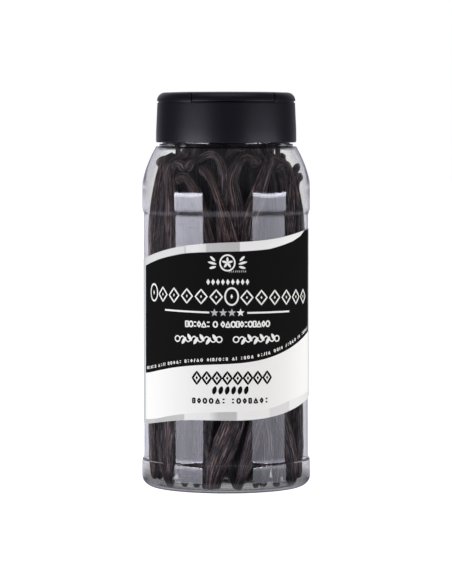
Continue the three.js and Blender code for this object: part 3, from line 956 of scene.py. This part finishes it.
def makeLabel():
    lab = label
    columns = lab["columns"]
    verts, faces, slots, tones = [], [], [], []
    black, white, silver, paintedSheenMargin = range(4)
    fields = (silver, white, black, silver)      # from the bottom edge up
    rows = len(fields) + 1
    for i in range(columns):
        degrees = -180 + 360 * i / columns
        angle = math.radians(degrees)
        low, high = stepped(lab["bottomTones"], degrees), stepped(lab["topTones"], degrees)
        for radius in (lab["outer"], lab["inner"]):
            for row, height in enumerate(labelHeights(angle)):
                verts.append((radius * math.sin(angle) * mm, -radius * math.cos(angle) * mm, height * mm))
                tones.append(low if row < 3 else high)
    for i in range(columns):
        here, there = i * 2 * rows, ((i + 1) % columns) * 2 * rows
        middle = -180 + 360 * (i + 0.5) / columns
        # the margins at both sides are painted reflection: a pale grey where the white backdrop would shine
        # on the turning film
        isPaintedSheen = (lab["frontFrom"] - lab["paintedSheenMargin"] < middle < lab["frontFrom"]
                    or lab["frontTo"] < middle < lab["frontTo"] + lab["paintedSheenMargin"])
        for k in range(rows - 1):
            faces.append((here + k, there + k, there + k + 1, here + k + 1))
            slots.append(paintedSheenMargin if isPaintedSheen else fields[k])
            faces.append((here + rows + k, here + rows + k + 1, there + rows + k + 1, there + rows + k))
            slots.append(white)
        for a, b in ((0, rows), (2 * rows - 1, rows - 1)):
            faces.append((here + a, here + b, there + b, there + a))
            slots.append(white)
    piece = linkMesh("wrapLabel", verts, faces)
    inks = [ink("inkBlack", lab["black"]), ink("inkWhite", lab["white"]), silverInk(),
            ink("inkPaintedSheen", lab["paintedSheenTone"])]
    for mat in inks:
        piece.data.materials.append(mat)
    for face, slot in zip(piece.data.polygons, slots):
        face.material_index = slot
    addAttribute(piece.data, "tone", "FLOAT", tones)
    sharpBy(piece, 40)
    finishPiece(piece, "label_film", "label")
    makePrint("paleShapes", whitePrint(), inks[white])
    makePrint("greyShapes", greyPrint(), ink("inkGrey", lab["grey"]))
    makePrint("darkShapes", blackPrint(), inks[black])
    print("label made")


makeLabel()


# the vanilla pods: sizes in mm
pods = {
    # the outer ring behind the front ones, and those inside it: angles in degrees
    "ringCount": 19, "ringRadius": 34.6, "ringFrom": 84, "ringSweep": 190, "ringShift": 0.35,
    "ringLean": 46, "ringCrown": (148, 162),
    "innerCount": 36, "innerRadius": 27, "innerTurn": 2.399963, "innerShift": 0.4,
    "innerLean": 40, "innerCrown": (163, 171),
    "footHeight": 1.7, "lowHeight": 34, "highHeight": 118, "topHeight": 174, "slices": 34,
    "halfWidth": (3.1, 4.3), "narrowing": 0.1, "hook": (3, 6), "hookTurn": (60, 140),
    "squeeze": 0.9,           # pods are pushed while their centres are nearer than this, of both half widths
    "pushes": 160, "pushShare": 0.28,
    "flatness": 0.78, "wallGap": 0.5, "wallShare": 0.85, "neckEntry": (9, 3), "seed": 41,
    # what the tips and feet take off the half width or add, and where: shares of the length, or mm
    "neckLoss": 0.4, "neckSpan": (0.74, 0.95), "knob": 0.42, "knobPlace": 2.2, "knobLength": 2.0,
    "footLoss": 0.42, "footSpan": (2, 16), "swell": 0.06, "swellLength": (5, 9), "twist": 50,
    # rings are this far apart at the tips, and further in the open and behind the label
    "frontSides": 64, "frontStep": 1.0, "backSides": 28, "backStep": 2.0, "openStep": 2.5,
    "hiddenStep": 5, "hiddenInset": (14, 12), "footRings": 12, "tipRings": 20,
    "furrowDepth": 0.7, "furrowsRound": 1.5, "drift": 15.0,
    "strands": 17, "wander": 9.0,
    # scales of the skin's patterns along the alongPod attribute
    "warmScale": 0.7, "wanderScale": 1.0, "patchScale": 1.6, "creaseScale": 2.6, "strandScale": 7.0,
    "pimpleScale": 9, "glintFleckScale": 22.0,
    "roughness": (0.36, 0.55), "shine": 0.3, "bumpStrength": 0.9, "bumpDepth": 0.0006,
    # the skin's colours: painted shadow in the furrows, the body, and the strands, partly the pod's
    # striations and partly painted glints on the ridges, cool and warm
    "shadow": (0.0016, 0.0011, 0.0013), "body": (0.0125, 0.0077, 0.0087),
    "ridgeGlint": (0.29, 0.228, 0.228), "warmRidgeGlint": (0.37, 0.22, 0.175),
    # little light gets in to the pods in the middle, so they are given painted shade: shares of the room's
    # radius
    "tint": (0.65, 1.25), "deepShade": 0.12, "deepSpan": (0.75, 0.91),
}

# pods in front, left to right at the top, in mm: distance from the jar's axis low down and high up,
# width low down and high up, and (x, height) of the centre line from the foot to the hooked tip,
# with the depth towards the front where a tip turns aside; where two of these lines cross, the pods
# run up to 3.5 mm through one another
frontPods = [
    {"reach": (35, 35), "width": (8.6, 7.4),
     "line": [(-36.4, 3.4), (-34.2, 14), (-34.2, 34), (-34.6, 118), (-33.6, 132), (-32.9, 142),
              (-31.7, 150, 13), (-30.3, 156.8, 10), (-31.4, 160.4, 7), (-33.8, 159.4, 4), (-34.8, 156, 3)]},
    {"reach": (33.5, 33.5), "width": (7.2, 6.6),
     "line": [(-26.5, 1.5), (-29, 9), (-29.8, 18), (-29.7, 34), (-30.1, 118), (-29.5, 132),
              (-28.6, 146), (-28.5, 155.5), (-30, 160)]},
    {"reach": (35, 34.5), "width": (7.2, 7.4),
     "line": [(-27.6, 1.5), (-27, 14), (-25.8, 34), (-25.6, 119), (-25.9, 134), (-26.4, 145),
              (-27.3, 153), (-26.2, 159.5), (-23.5, 164)]},
    {"reach": (31, 33), "width": (6.6, 6.4),
     "line": [(-20, 1.5), (-19.5, 34), (-22, 118), (-25, 140), (-25.8, 151), (-24.4, 156.3),
              (-21.6, 156.8), (-19.4, 153.6)]},
    {"reach": (33, 33.5), "width": (7.4, 7.8),
     "line": [(17.3, 2.2), (19, 18), (17.8, 34), (-7, 119.6), (-9.8, 131.4), (-13.6, 141.8),
              (-16.8, 148.5), (-19.8, 151), (-22.2, 150), (-23.2, 147.4)]},
    {"reach": (30, 33), "width": (7, 6.4),
     "line": [(-14, 1.5), (-12, 34), (-3, 118), (-1.8, 140), (-1.6, 151), (-2.6, 157), (-5.2, 160.4),
              (-9.3, 161.8), (-14, 160), (-17, 157), (-18.4, 153.8)]},
    {"reach": (35.2, 35.2), "width": (8.6, 10.6),
     "line": [(33, 1.5), (32, 9), (30.4, 19), (26.5, 34), (2.5, 119.7), (0.1, 130.2), (-3.2, 140.6),
              (-6.2, 147.8), (-9.6, 152.8), (-13, 156)]},
    {"reach": (31, 33), "width": (7, 8.6),
     "line": [(5.4, 1.5), (2.5, 9), (0.4, 18), (1.1, 34), (4.9, 119.6), (4.9, 132.4), (3.9, 140.5),
              (2.5, 147), (3.3, 152.6), (5.8, 157.2), (9.6, 159.6), (13.4, 159.2), (15.6, 156.6)]},
    {"reach": (33, 35), "width": (7.6, 9.8),
     "line": [(-9.4, 1.5), (-9.6, 20), (-9.2, 34), (9.6, 119.7), (11.5, 131.5), (14.4, 139.5),
              (16.8, 146.6), (18.9, 152.3), (21.4, 156.4), (24.4, 158.6), (27, 158.4)]},
    {"reach": (33, 34.2), "width": (7, 6.4),
     "line": [(24, 1.5), (27, 34), (29, 119), (29.8, 132), (30.6, 141.5), (30.8, 149), (29.6, 155.4),
              (26.8, 159), (23.6, 160)]},
    {"reach": (31, 32.5), "width": (6.4, 6.4),
     "line": [(14, 1.5), (18, 34), (27, 119), (28, 140), (27.2, 150), (25.6, 155), (23.2, 154)]},
    {"reach": (35.2, 35.2), "width": (9.6, 5.6),
     "line": [(-8.6, 1.4), (-6.5, 11), (-2.7, 21.7), (2.5, 34.6), (29.3, 119), (30.2, 132),
              (30.6, 141.5, 15), (30.8, 147, 12), (31.9, 151.2, 10), (33.6, 154.4, 8.5), (35, 156.6, 7.5)]},
    {"reach": (33, 30), "width": (7.4, 6.8),
     "line": [(-4.6, 1.5), (-2.4, 12), (1.6, 22), (6.4, 36), (24, 110), (23, 135), (20.5, 152),
              (17, 162), (14, 167)]},
    {"reach": (35, 34.6), "width": (7.2, 6.4),
     "line": [(36, 3.4), (35, 12), (34.6, 20), (34, 34), (33, 118), (32.9, 132), (32.4, 141.4),
              (31, 149), (29.4, 156), (27.6, 161), (25.6, 165.5)]},
    {"reach": (35.2, 35.6), "width": (7.8, 6.8),
     "line": [(5.4, 1.5), (8.2, 10), (11.1, 19.6), (14.4, 34), (34.4, 112), (35.3, 122), (35.1, 134),
              (34.5, 140, 9), (33.6, 145.2, 7), (34, 149.2, 6), (35.8, 151.2, 5), (37.4, 151.8, 4)]},
]


def smoothstep(value, low, high):
    t = np.clip((value - low) / (high - low), 0, 1)
    return t * t * (3 - 2 * t)


def roomAt(height):
    # how far from the axis there is room inside the jar at a height
    inside = jar["wall"] + pods["wallGap"]
    share = min(max((height - jar["floor"]) / jar["cornerHeight"], 0), 1)
    corner = (jar["panelRadius"] - jar["baseRadius"]) * (1 - math.sqrt(1 - (1 - share) ** 2))
    below = min(jar["panelRadius"], shoulderAt(height)) - corner - inside
    entryStart, entryEnd = (jar["shoulderEnd"] - below for below in pods["neckEntry"])
    entry = smoothstep(height, entryStart, entryEnd)
    return below * (1 - entry) + (jar["neckBore"] - pods["wallGap"]) * entry


def floorAt(reach):
    # the jar's domed base under a pod that stands at a distance from the axis
    share = min(max((jar["baseInner"] - reach) / (jar["baseInner"] - jar["domeRadius"]), 0), 1)
    return jar["domeHeight"] * share


def smoothLine(points, pace=1.5):
    # a centripetal curve through the points
    rows = np.vstack([2 * points[0] - points[1], points, 2 * points[-1] - points[-2]])
    line = [points[0]]
    for p0, p1, p2, p3 in zip(rows, rows[1:], rows[2:], rows[3:]):
        t1 = np.linalg.norm(p1 - p0) ** 0.5
        t2 = t1 + np.linalg.norm(p2 - p1) ** 0.5
        t3 = t2 + np.linalg.norm(p3 - p2) ** 0.5
        count = max(2, round(float(np.linalg.norm(p2 - p1)) / pace))
        for t in np.linspace(t1, t2, count + 1)[1:]:
            a1 = p0 * (t1 - t) / t1 + p1 * t / t1
            a2 = p1 * (t2 - t) / (t2 - t1) + p2 * (t - t1) / (t2 - t1)
            a3 = p2 * (t3 - t) / (t3 - t2) + p3 * (t - t2) / (t3 - t2)
            b1 = a1 * (t2 - t) / t2 + a2 * t / t2
            b2 = a2 * (t3 - t) / (t3 - t1) + a3 * (t - t1) / (t3 - t1)
            line.append(b1 * (t2 - t) / (t2 - t1) + b2 * (t - t1) / (t2 - t1))
    return np.array(line)


def frontPlan(row):
    # the centre line at its true depth, kept inside the jar
    points = []
    for x, height, *depth in row["line"]:
        share = smoothstep(height, pods["lowHeight"], pods["highHeight"])
        away = max(abs(x), row["reach"][0] * (1 - share) + row["reach"][1] * share)
        front = depth[0] if depth else math.sqrt(away ** 2 - x ** 2)
        points.append((x, -front, height))
    line = smoothLine(np.array(points, float))
    share = np.clip(line[:, 2] / line[-1, 2], 0, 1)
    half = (row["width"][0] * (1 - share) + row["width"][1] * share) / 2
    for point, size in zip(line, half):
        reach, room = math.hypot(point[0], point[1]), roomAt(point[2]) - size * pods["wallShare"]
        if reach > room:
            point[:2] *= room / reach
    return {"line": line, "half": half}


def leaningPlan(rng, foot, lean, reach, crown):
    # a pod that leans from one compass angle at the foot to another at the top
    hook, turn = rng.uniform(*pods["hook"]), rng.uniform(*pods["hookTurn"])
    top = foot + lean
    curl = top + math.pi / 2 * (1 if rng.random() < 0.5 else -1)
    half = rng.uniform(*pods["halfWidth"])
    stations = []
    for share, angle in ((0, foot), (0.5, foot + lean * 0.5), (1, top)):
        height = pods["footHeight"] + floorAt(reach) + share * (crown - hook - pods["footHeight"])
        stations.append((reach * math.sin(angle), -reach * math.cos(angle), height))
    shares = np.linspace(0, 1, 60)
    line = np.array([np.interp(2 * shares, (0, 1, 2), column) for column in zip(*stations)]).T
    return {"line": line, "half": half * (1 - pods["narrowing"] * shares), "hook": hook, "turn": turn,
            "side": (math.sin(curl), -math.cos(curl), 0.0)}


def podPlans(rng):
    plans = [frontPlan(row) for row in frontPods]
    for i in range(pods["ringCount"]):
        share = (i + pods["ringShift"] * rng.random()) / pods["ringCount"]
        foot = math.radians(pods["ringFrom"] + pods["ringSweep"] * share)
        lean = math.radians(pods["ringLean"]) * (rng.random() - 0.5)
        plans.append(leaningPlan(rng, foot, lean, pods["ringRadius"], rng.uniform(*pods["ringCrown"])))
    for i in range(pods["innerCount"]):
        reach = pods["innerRadius"] * math.sqrt((i + 0.5) / pods["innerCount"])
        foot = i * pods["innerTurn"] + pods["innerShift"] * rng.random()
        lean = math.radians(pods["innerLean"]) * (rng.random() - 0.5)
        plans.append(leaningPlan(rng, foot, lean, reach, rng.uniform(*pods["innerCrown"])))
    return plans


def packPods(plans):
    # pushes the pods' centres apart, height by height, a set number of times; those in front stay,
    # and where there is no room the skins are left up to 1.5 mm inside one another
    heights = np.linspace(pods["footHeight"], pods["topHeight"], pods["slices"])
    count = len(plans)
    spots = np.zeros((count, len(heights), 2))
    half = np.zeros((count, len(heights)))
    live = np.zeros((count, len(heights)), bool)
    for i, plan in enumerate(plans):
        top = int(np.argmax(plan["line"][:, 2])) + 1
        line = plan["line"][:top]
        live[i] = heights <= line[-1, 2] + 4
        spots[i, :, 0] = np.interp(heights, line[:, 2], line[:, 0])
        spots[i, :, 1] = np.interp(heights, line[:, 2], line[:, 1])
        half[i] = np.interp(heights, line[:, 2], plan["half"][:top])
        half[i] *= 1 - 0.35 * smoothstep(heights, line[-1, 2] * 0.75, line[-1, 2])
    loose = np.array(["hook" in plan for plan in plans])[:, None, None]
    room = np.array([roomAt(h) for h in heights])
    for _ in range(pods["pushes"]):
        gap = spots[:, None] - spots[None, :]
        dist = np.linalg.norm(gap, axis=-1) + 1e-9
        near = (half[:, None] + half[None, :]) * pods["squeeze"] - dist
        both = live[:, None] & live[None, :]
        near = np.where(both & ~np.eye(count, dtype=bool)[:, :, None], np.maximum(near, 0), 0)
        push = (gap / dist[..., None] * near[..., None]).sum(axis=1)
        moved = spots + push * pods["pushShare"]
        smooth = moved.copy()
        smooth[:, 1:-1] = 0.5 * moved[:, 1:-1] + 0.25 * (moved[:, :-2] + moved[:, 2:])
        moved = 0.6 * moved + 0.4 * smooth
        reach = np.linalg.norm(moved, axis=-1)
        limit = np.maximum(room[None, :] - half * pods["wallShare"], 1)
        moved *= np.minimum(1, limit / np.maximum(reach, 1e-6))[..., None]
        spots = np.where(loose, moved, spots)
    return heights, spots


def podPath(plan, heights, spots, rng):
    # the centre line from the foot up and round the hook, with the half width at each point
    line, half = plan["line"].copy(), plan["half"]
    if "hook" in plan:
        line[:, 0] = np.interp(line[:, 2], heights, spots[:, 0])
        line[:, 1] = np.interp(line[:, 2], heights, spots[:, 1])
        lean = line[-1] - line[-4]
        up = lean / np.linalg.norm(lean)
        side = np.array(plan["side"])
        side -= up * side.dot(up)
        side /= np.linalg.norm(side)
        arc = [line[-1] + plan["hook"] * (side * (1 - math.cos(t)) + up * math.sin(t))
               for t in np.linspace(0, math.radians(plan["turn"]), 9)[1:]]
        line = np.vstack([line, arc])
        half = np.append(half, [half[-1]] * len(arc))
    steps = np.linalg.norm(np.diff(line, axis=0), axis=1)
    along = np.concatenate([[0], np.cumsum(steps)])
    left = along[-1] - along
    width = half * (1 - pods["neckLoss"] * smoothstep(along / along[-1], *pods["neckSpan"]))
    width = width * (1 + pods["knob"] * np.exp(-((left - pods["knobPlace"]) / pods["knobLength"]) ** 2))
    width = width * (1 - pods["footLoss"] * (1 - smoothstep(along, *pods["footSpan"])))
    wave = np.sin(along / rng.uniform(*pods["swellLength"]) + 6 * rng.random())
    width = width * (1 + pods["swell"] * wave)
    return along, line, width


def spacedPath(along, line, width, step):
    # rings lie close over both round ends, a step apart near the tips and wide apart elsewhere
    total = along[-1]
    lowInset, highInset = pods["hiddenInset"]
    closing = np.array([0, 0.05, 0.18, 0.4, 0.7])
    places = list(closing * width[0])
    place = width[0]
    while place < total - width[-1]:
        places.append(place)
        height = np.interp(place, along, line[:, 2])
        tip = place < pods["footRings"] or total - place < pods["tipRings"]
        hidden = label["bottom"][0] + lowInset < height < label["top"][0] - highInset
        place += step * (1 if tip else pods["hiddenStep"] if hidden else pods["openStep"])
    places += [total - place for place in reversed(closing * width[-1])]
    rings = np.array([np.interp(places, along, column) for column in line.T]).T
    return rings, np.interp(places, along, width)


def sweepTree():
    # sweeps a flattened wrinkled skin along each path
    tree = newTree("podSweep", "GeometryNodeTree",
                   [("Geometry", "NodeSocketGeometry", None), ("Sides", "NodeSocketInt", 24),
                    ("Flatness", "NodeSocketFloat", 0.78), ("Furrow Depth", "NodeSocketFloat", 0.0007),
                    ("Furrows Round", "NodeSocketFloat", 1.5), ("Drift", "NodeSocketFloat", 15.0),
                    ("Seed", "NodeSocketFloat", 3.0),
                    ("Material", "NodeSocketMaterial", None)],
                   [("Geometry", "NodeSocketGeometry")])
    into = addNode(tree, "NodeGroupInput")
    out = addNode(tree, "NodeGroupOutput")
    link = tree.links.new

    def attribute(name, kind):
        node = addNode(tree, "GeometryNodeInputNamedAttribute", data_type=kind)
        node.inputs["Name"].default_value = name
        return node.outputs["Attribute"]

    paths = addNode(tree, "GeometryNodeMeshToCurve")
    link(into.outputs["Geometry"], paths.inputs["Mesh"])
    facing = addNode(tree, "GeometryNodeSetCurveNormal", mode="FREE")
    link(paths.outputs["Curve"], facing.inputs["Curve"])
    link(attribute("faceOut", "FLOAT_VECTOR"), facing.inputs["Normal"])
    spline = addNode(tree, "GeometryNodeSplineParameter")
    # both ends close over a length of about one half width
    length = addNode(tree, "GeometryNodeSplineLength")
    fromEnd = mathNode(tree, "SUBTRACT", length.outputs["Length"], spline.outputs["Length"])
    nearest = mathNode(tree, "MINIMUM", fromEnd, spline.outputs["Length"])
    halfWidth = attribute("halfWidth", "FLOAT")
    closing = mathNode(tree, "DIVIDE", nearest, halfWidth, clamp=True)
    inverse = mathNode(tree, "SUBTRACT", 1.0, closing)
    squared = mathNode(tree, "POWER", inverse, 2.0)
    roundOff = mathNode(tree, "SQRT", mathNode(tree, "SUBTRACT", 1.02, squared))
    radius = mathNode(tree, "MULTIPLY", halfWidth, roundOff)
    keep = addNode(tree, "GeometryNodeCaptureAttribute")
    keep.capture_items.new("FLOAT", "Along")
    link(facing.outputs["Curve"], keep.inputs["Geometry"])
    link(spline.outputs["Length"], keep.inputs["Along"])
    ring = addNode(tree, "GeometryNodeCurvePrimitiveCircle")
    link(into.outputs["Sides"], ring.inputs["Resolution"])
    ring.inputs["Radius"].default_value = 1
    shape = addNode(tree, "ShaderNodeCombineXYZ")
    link(into.outputs["Flatness"], shape.inputs["X"])
    shape.inputs["Y"].default_value = 1
    shape.inputs["Z"].default_value = 1
    flatten = addNode(tree, "GeometryNodeTransform")
    link(ring.outputs["Curve"], flatten.inputs["Geometry"])
    link(shape.outputs["Vector"], flatten.inputs["Scale"])
    ringKeep = addNode(tree, "GeometryNodeCaptureAttribute")
    ringKeep.capture_items.new("VECTOR", "Around")
    position = addNode(tree, "GeometryNodeInputPosition")
    link(flatten.outputs["Geometry"], ringKeep.inputs["Geometry"])
    link(position.outputs["Position"], ringKeep.inputs["Around"])
    sweep = addNode(tree, "GeometryNodeCurveToMesh")
    link(keep.outputs["Geometry"], sweep.inputs["Curve"])
    link(ringKeep.outputs["Geometry"], sweep.inputs["Profile Curve"])
    sweep.inputs["Fill Caps"].default_value = True
    link(radius, sweep.inputs["Scale"])
    # furrows that run along the pod and wander slowly round it
    around = addNode(tree, "ShaderNodeSeparateXYZ")
    link(ringKeep.outputs["Around"], around.inputs["Vector"])
    shift = mathNode(tree, "MULTIPLY_ADD", attribute("podId", "FLOAT"), 7.31, into.outputs["Seed"])
    run = mathNode(tree, "MULTIPLY_ADD", keep.outputs["Along"], into.outputs["Drift"], shift)
    spotX = mathNode(tree, "MULTIPLY", around.outputs["X"], into.outputs["Furrows Round"])
    spotY = mathNode(tree, "MULTIPLY", around.outputs["Y"], into.outputs["Furrows Round"])
    spot = addNode(tree, "ShaderNodeCombineXYZ")
    for socket, value in zip(spot.inputs, (spotX, spotY, run)):
        link(value, socket)
    noise = addNode(tree, "ShaderNodeTexNoise")
    noise.inputs["Scale"].default_value = 1
    noise.inputs["Detail"].default_value = 2
    link(spot.outputs["Vector"], noise.inputs["Vector"])
    middle = mathNode(tree, "ABSOLUTE", mathNode(tree, "SUBTRACT", noise.outputs["Fac"], 0.5))
    crease = mathNode(tree, "MULTIPLY", middle, 8.0, clamp=True)
    depth = mathNode(tree, "MULTIPLY", mathNode(tree, "SUBTRACT", crease, 1.0), into.outputs["Furrow Depth"])
    normal = addNode(tree, "GeometryNodeInputNormal")
    offset = addNode(tree, "ShaderNodeVectorMath", operation="SCALE")
    link(normal.outputs["Normal"], offset.inputs[0])
    link(depth, offset.inputs["Scale"])
    crumple = addNode(tree, "GeometryNodeSetPosition")
    link(sweep.outputs["Mesh"], crumple.inputs["Geometry"])
    link(offset.outputs["Vector"], crumple.inputs["Offset"])
    # what the skin's pattern follows: round the pod, and along it
    grain = addNode(tree, "ShaderNodeCombineXYZ")
    for socket, value in zip(grain.inputs, (around.outputs["X"], around.outputs["Y"], run)):
        link(value, socket)
    store = addNode(tree, "GeometryNodeStoreNamedAttribute", data_type="FLOAT_VECTOR", domain="POINT")
    store.inputs["Name"].default_value = "alongPod"
    link(crumple.outputs["Geometry"], store.inputs["Geometry"])
    link(grain.outputs["Vector"], store.inputs["Value"])
    storeCrease = addNode(tree, "GeometryNodeStoreNamedAttribute", data_type="FLOAT", domain="POINT")
    storeCrease.inputs["Name"].default_value = "crease"
    link(store.outputs["Geometry"], storeCrease.inputs["Geometry"])
    link(crease, storeCrease.inputs["Value"])
    real = addNode(tree, "GeometryNodeRealizeInstances")
    link(storeCrease.outputs["Geometry"], real.inputs["Geometry"])
    shade = addNode(tree, "GeometryNodeSetShadeSmooth")
    link(real.outputs["Geometry"], shade.inputs["Geometry"])
    paint = addNode(tree, "GeometryNodeSetMaterial")
    link(shade.outputs["Geometry"], paint.inputs["Geometry"])
    link(into.outputs["Material"], paint.inputs["Material"])
    link(paint.outputs["Geometry"], out.inputs["Geometry"])
    return tree


def podSkin():
    mat, tree, shader = newMaterial("podSkin")
    link = tree.links.new
    along = addNode(tree, "ShaderNodeAttribute", attribute_name="alongPod")
    crease = addNode(tree, "ShaderNodeAttribute", attribute_name="crease")
    # each pod's own random tone, times painted shade for the pods in the middle
    tint = addNode(tree, "ShaderNodeAttribute", attribute_name="podToneAndShade")

    def noise(scale, detail):
        node = addNode(tree, "ShaderNodeTexNoise")
        node.inputs["Scale"].default_value = scale
        node.inputs["Detail"].default_value = detail
        link(along.outputs["Vector"], node.inputs["Vector"])
        return node.outputs["Fac"]

    # fine strands along the pod: their place round it wanders, and they come and go; they are partly the
    # pod's striations and partly painted glints on the ridges
    split = addNode(tree, "ShaderNodeSeparateXYZ")
    link(along.outputs["Vector"], split.inputs["Vector"])
    wide = mathNode(tree, "DIVIDE", split.outputs["X"], pods["flatness"])
    angle = mathNode(tree, "ARCTAN2", split.outputs["Y"], wide)
    phase = mathNode(tree, "MULTIPLY_ADD", noise(pods["wanderScale"], 2), pods["wander"],
                     mathNode(tree, "MULTIPLY", angle, float(pods["strands"])))
    wave = mathNode(tree, "SINE", phase)
    patches = mathNode(tree, "MULTIPLY_ADD", noise(pods["patchScale"], 2), 3.2, -1.0, clamp=True)
    uneven = mathNode(tree, "MULTIPLY_ADD", noise(pods["strandScale"], 3), 6.0, -3.05)
    strand = mathNode(tree, "MULTIPLY_ADD", wave, 0.4, uneven, clamp=True)
    lines = mathNode(tree, "MULTIPLY", strand, mathNode(tree, "MULTIPLY_ADD", patches, 0.85, 0.15))
    # painted glints: small bright flecks on the skin
    glintFlecks = mathNode(tree, "MULTIPLY_ADD", noise(pods["glintFleckScale"], 2), 8.0, -4.6, clamp=True)
    lines = mathNode(tree, "MULTIPLY_ADD", glintFlecks, 0.7, lines)
    lit = mathNode(tree, "MULTIPLY", lines, tint.outputs["Fac"], clamp=True)
    # painted shade: the furrows, and the pods in the middle, turn from the body colour to the shadow colour
    dusk = mathNode(tree, "MULTIPLY", crease.outputs["Fac"], tint.outputs["Fac"])
    depth = mathNode(tree, "MULTIPLY", dusk, noise(pods["creaseScale"], 3))
    paintedShadeBody = ramp(tree, depth, pods["shadow"], pods["body"], 0.05, 0.6)
    top = addNode(tree, "ShaderNodeMix", data_type="RGBA")
    link(lit, top.inputs["Factor"])
    link(paintedShadeBody, top.inputs[6])
    warmth = noise(pods["warmScale"], 1)
    link(ramp(tree, warmth, pods["ridgeGlint"], pods["warmRidgeGlint"], 0.4, 0.6), top.inputs[7])
    link(top.outputs[2], shader.inputs["Base Color"])
    rough = addNode(tree, "ShaderNodeMapRange")
    link(patches, rough.inputs["Value"])
    rough.inputs["To Min"].default_value, rough.inputs["To Max"].default_value = pods["roughness"]
    link(rough.outputs["Result"], shader.inputs["Roughness"])
    shader.inputs["Specular IOR Level"].default_value = pods["shine"]
    bump = addNode(tree, "ShaderNodeBump")
    bump.inputs["Strength"].default_value = pods["bumpStrength"]
    bump.inputs["Distance"].default_value = pods["bumpDepth"]
    pimples = noise(pods["pimpleScale"], 2)
    link(mathNode(tree, "MULTIPLY_ADD", pimples, 0.3, strand), bump.inputs["Height"])
    link(bump.outputs["Normal"], shader.inputs["Normal"])
    return mat


def sweepPods(name, paths, tree, mat, sides, step):
    verts, edges, half, ids, outs, tonesAndShade = [], [], [], [], [], []
    for podId, tint, twist, path in paths:
        line, width = spacedPath(*path, step)
        first = len(verts)
        verts += [tuple(p * mm) for p in line]
        edges += [(k, k + 1) for k in range(first, first + len(line) - 1)]
        half += list(width * mm)
        ids += [podId] * len(line)
        # painted shade: pods further in from the jar's wall are darkened, on top of each pod's own random
        # tone
        outward = np.hypot(line[:, 0], line[:, 1]) / [roomAt(height) for height in line[:, 2]]
        light = smoothstep(outward, *pods["deepSpan"])
        tonesAndShade += list(tint * (pods["deepShade"] + (1 - pods["deepShade"]) * light))
        # the flat side faces away from the jar's axis at the foot and turns with the pod's twist
        out = np.array([line[0][0], line[0][1], 0.0])
        out = out / max(np.linalg.norm(out), 1e-6)
        turns = np.radians(twist) * np.linspace(0, 1, len(line))
        for tangent, turn in zip(np.gradient(line, axis=0), turns):
            tangent = tangent / np.linalg.norm(tangent)
            out = out - tangent * out.dot(tangent)
            out = out / np.linalg.norm(out)
            outs.append(out * math.cos(turn) + np.cross(tangent, out) * math.sin(turn))
    mesh = bpy.data.meshes.new(name)
    mesh.from_pydata(verts, edges, [])
    addAttribute(mesh, "halfWidth", "FLOAT", half)
    addAttribute(mesh, "podId", "FLOAT", ids)
    addAttribute(mesh, "podToneAndShade", "FLOAT", tonesAndShade)
    addAttribute(mesh, "faceOut", "FLOAT_VECTOR", outs)
    piece = bpy.data.objects.new(name, mesh)
    scene.collection.objects.link(piece)
    sweep = piece.modifiers.new("sweep", "NODES")
    sweep.node_group = tree
    wanted = {"Sides": sides, "Flatness": pods["flatness"], "Furrow Depth": pods["furrowDepth"] * mm,
              "Furrows Round": pods["furrowsRound"], "Drift": pods["drift"], "Material": mat}
    for item in tree.interface.items_tree:
        if item.item_type == "SOCKET" and item.in_out == "INPUT" and item.name in wanted:
            sweep[item.identifier] = wanted[item.name]
    applied(piece)
    outwardFaces(piece)
    finishPiece(piece, "pod_skin", "vanilla_pods")
    print(name, len(piece.data.polygons), "faces")


def makePods():
    rng = np.random.default_rng(pods["seed"])
    plans = podPlans(rng)
    heights, spots = packPods(plans)
    paths = []
    for i, plan in enumerate(plans):
        path = podPath(plan, heights, spots[i], rng)
        paths.append((i + 1.0, rng.uniform(*pods["tint"]), rng.uniform(-1, 1) * pods["twist"], path))
    tree = sweepTree()
    mat = podSkin()
    sweepPods("frontPods", paths[:len(frontPods)], tree, mat, pods["frontSides"], pods["frontStep"])
    sweepPods("packedPods", paths[len(frontPods):], tree, mat, pods["backSides"], pods["backStep"])


makePods()
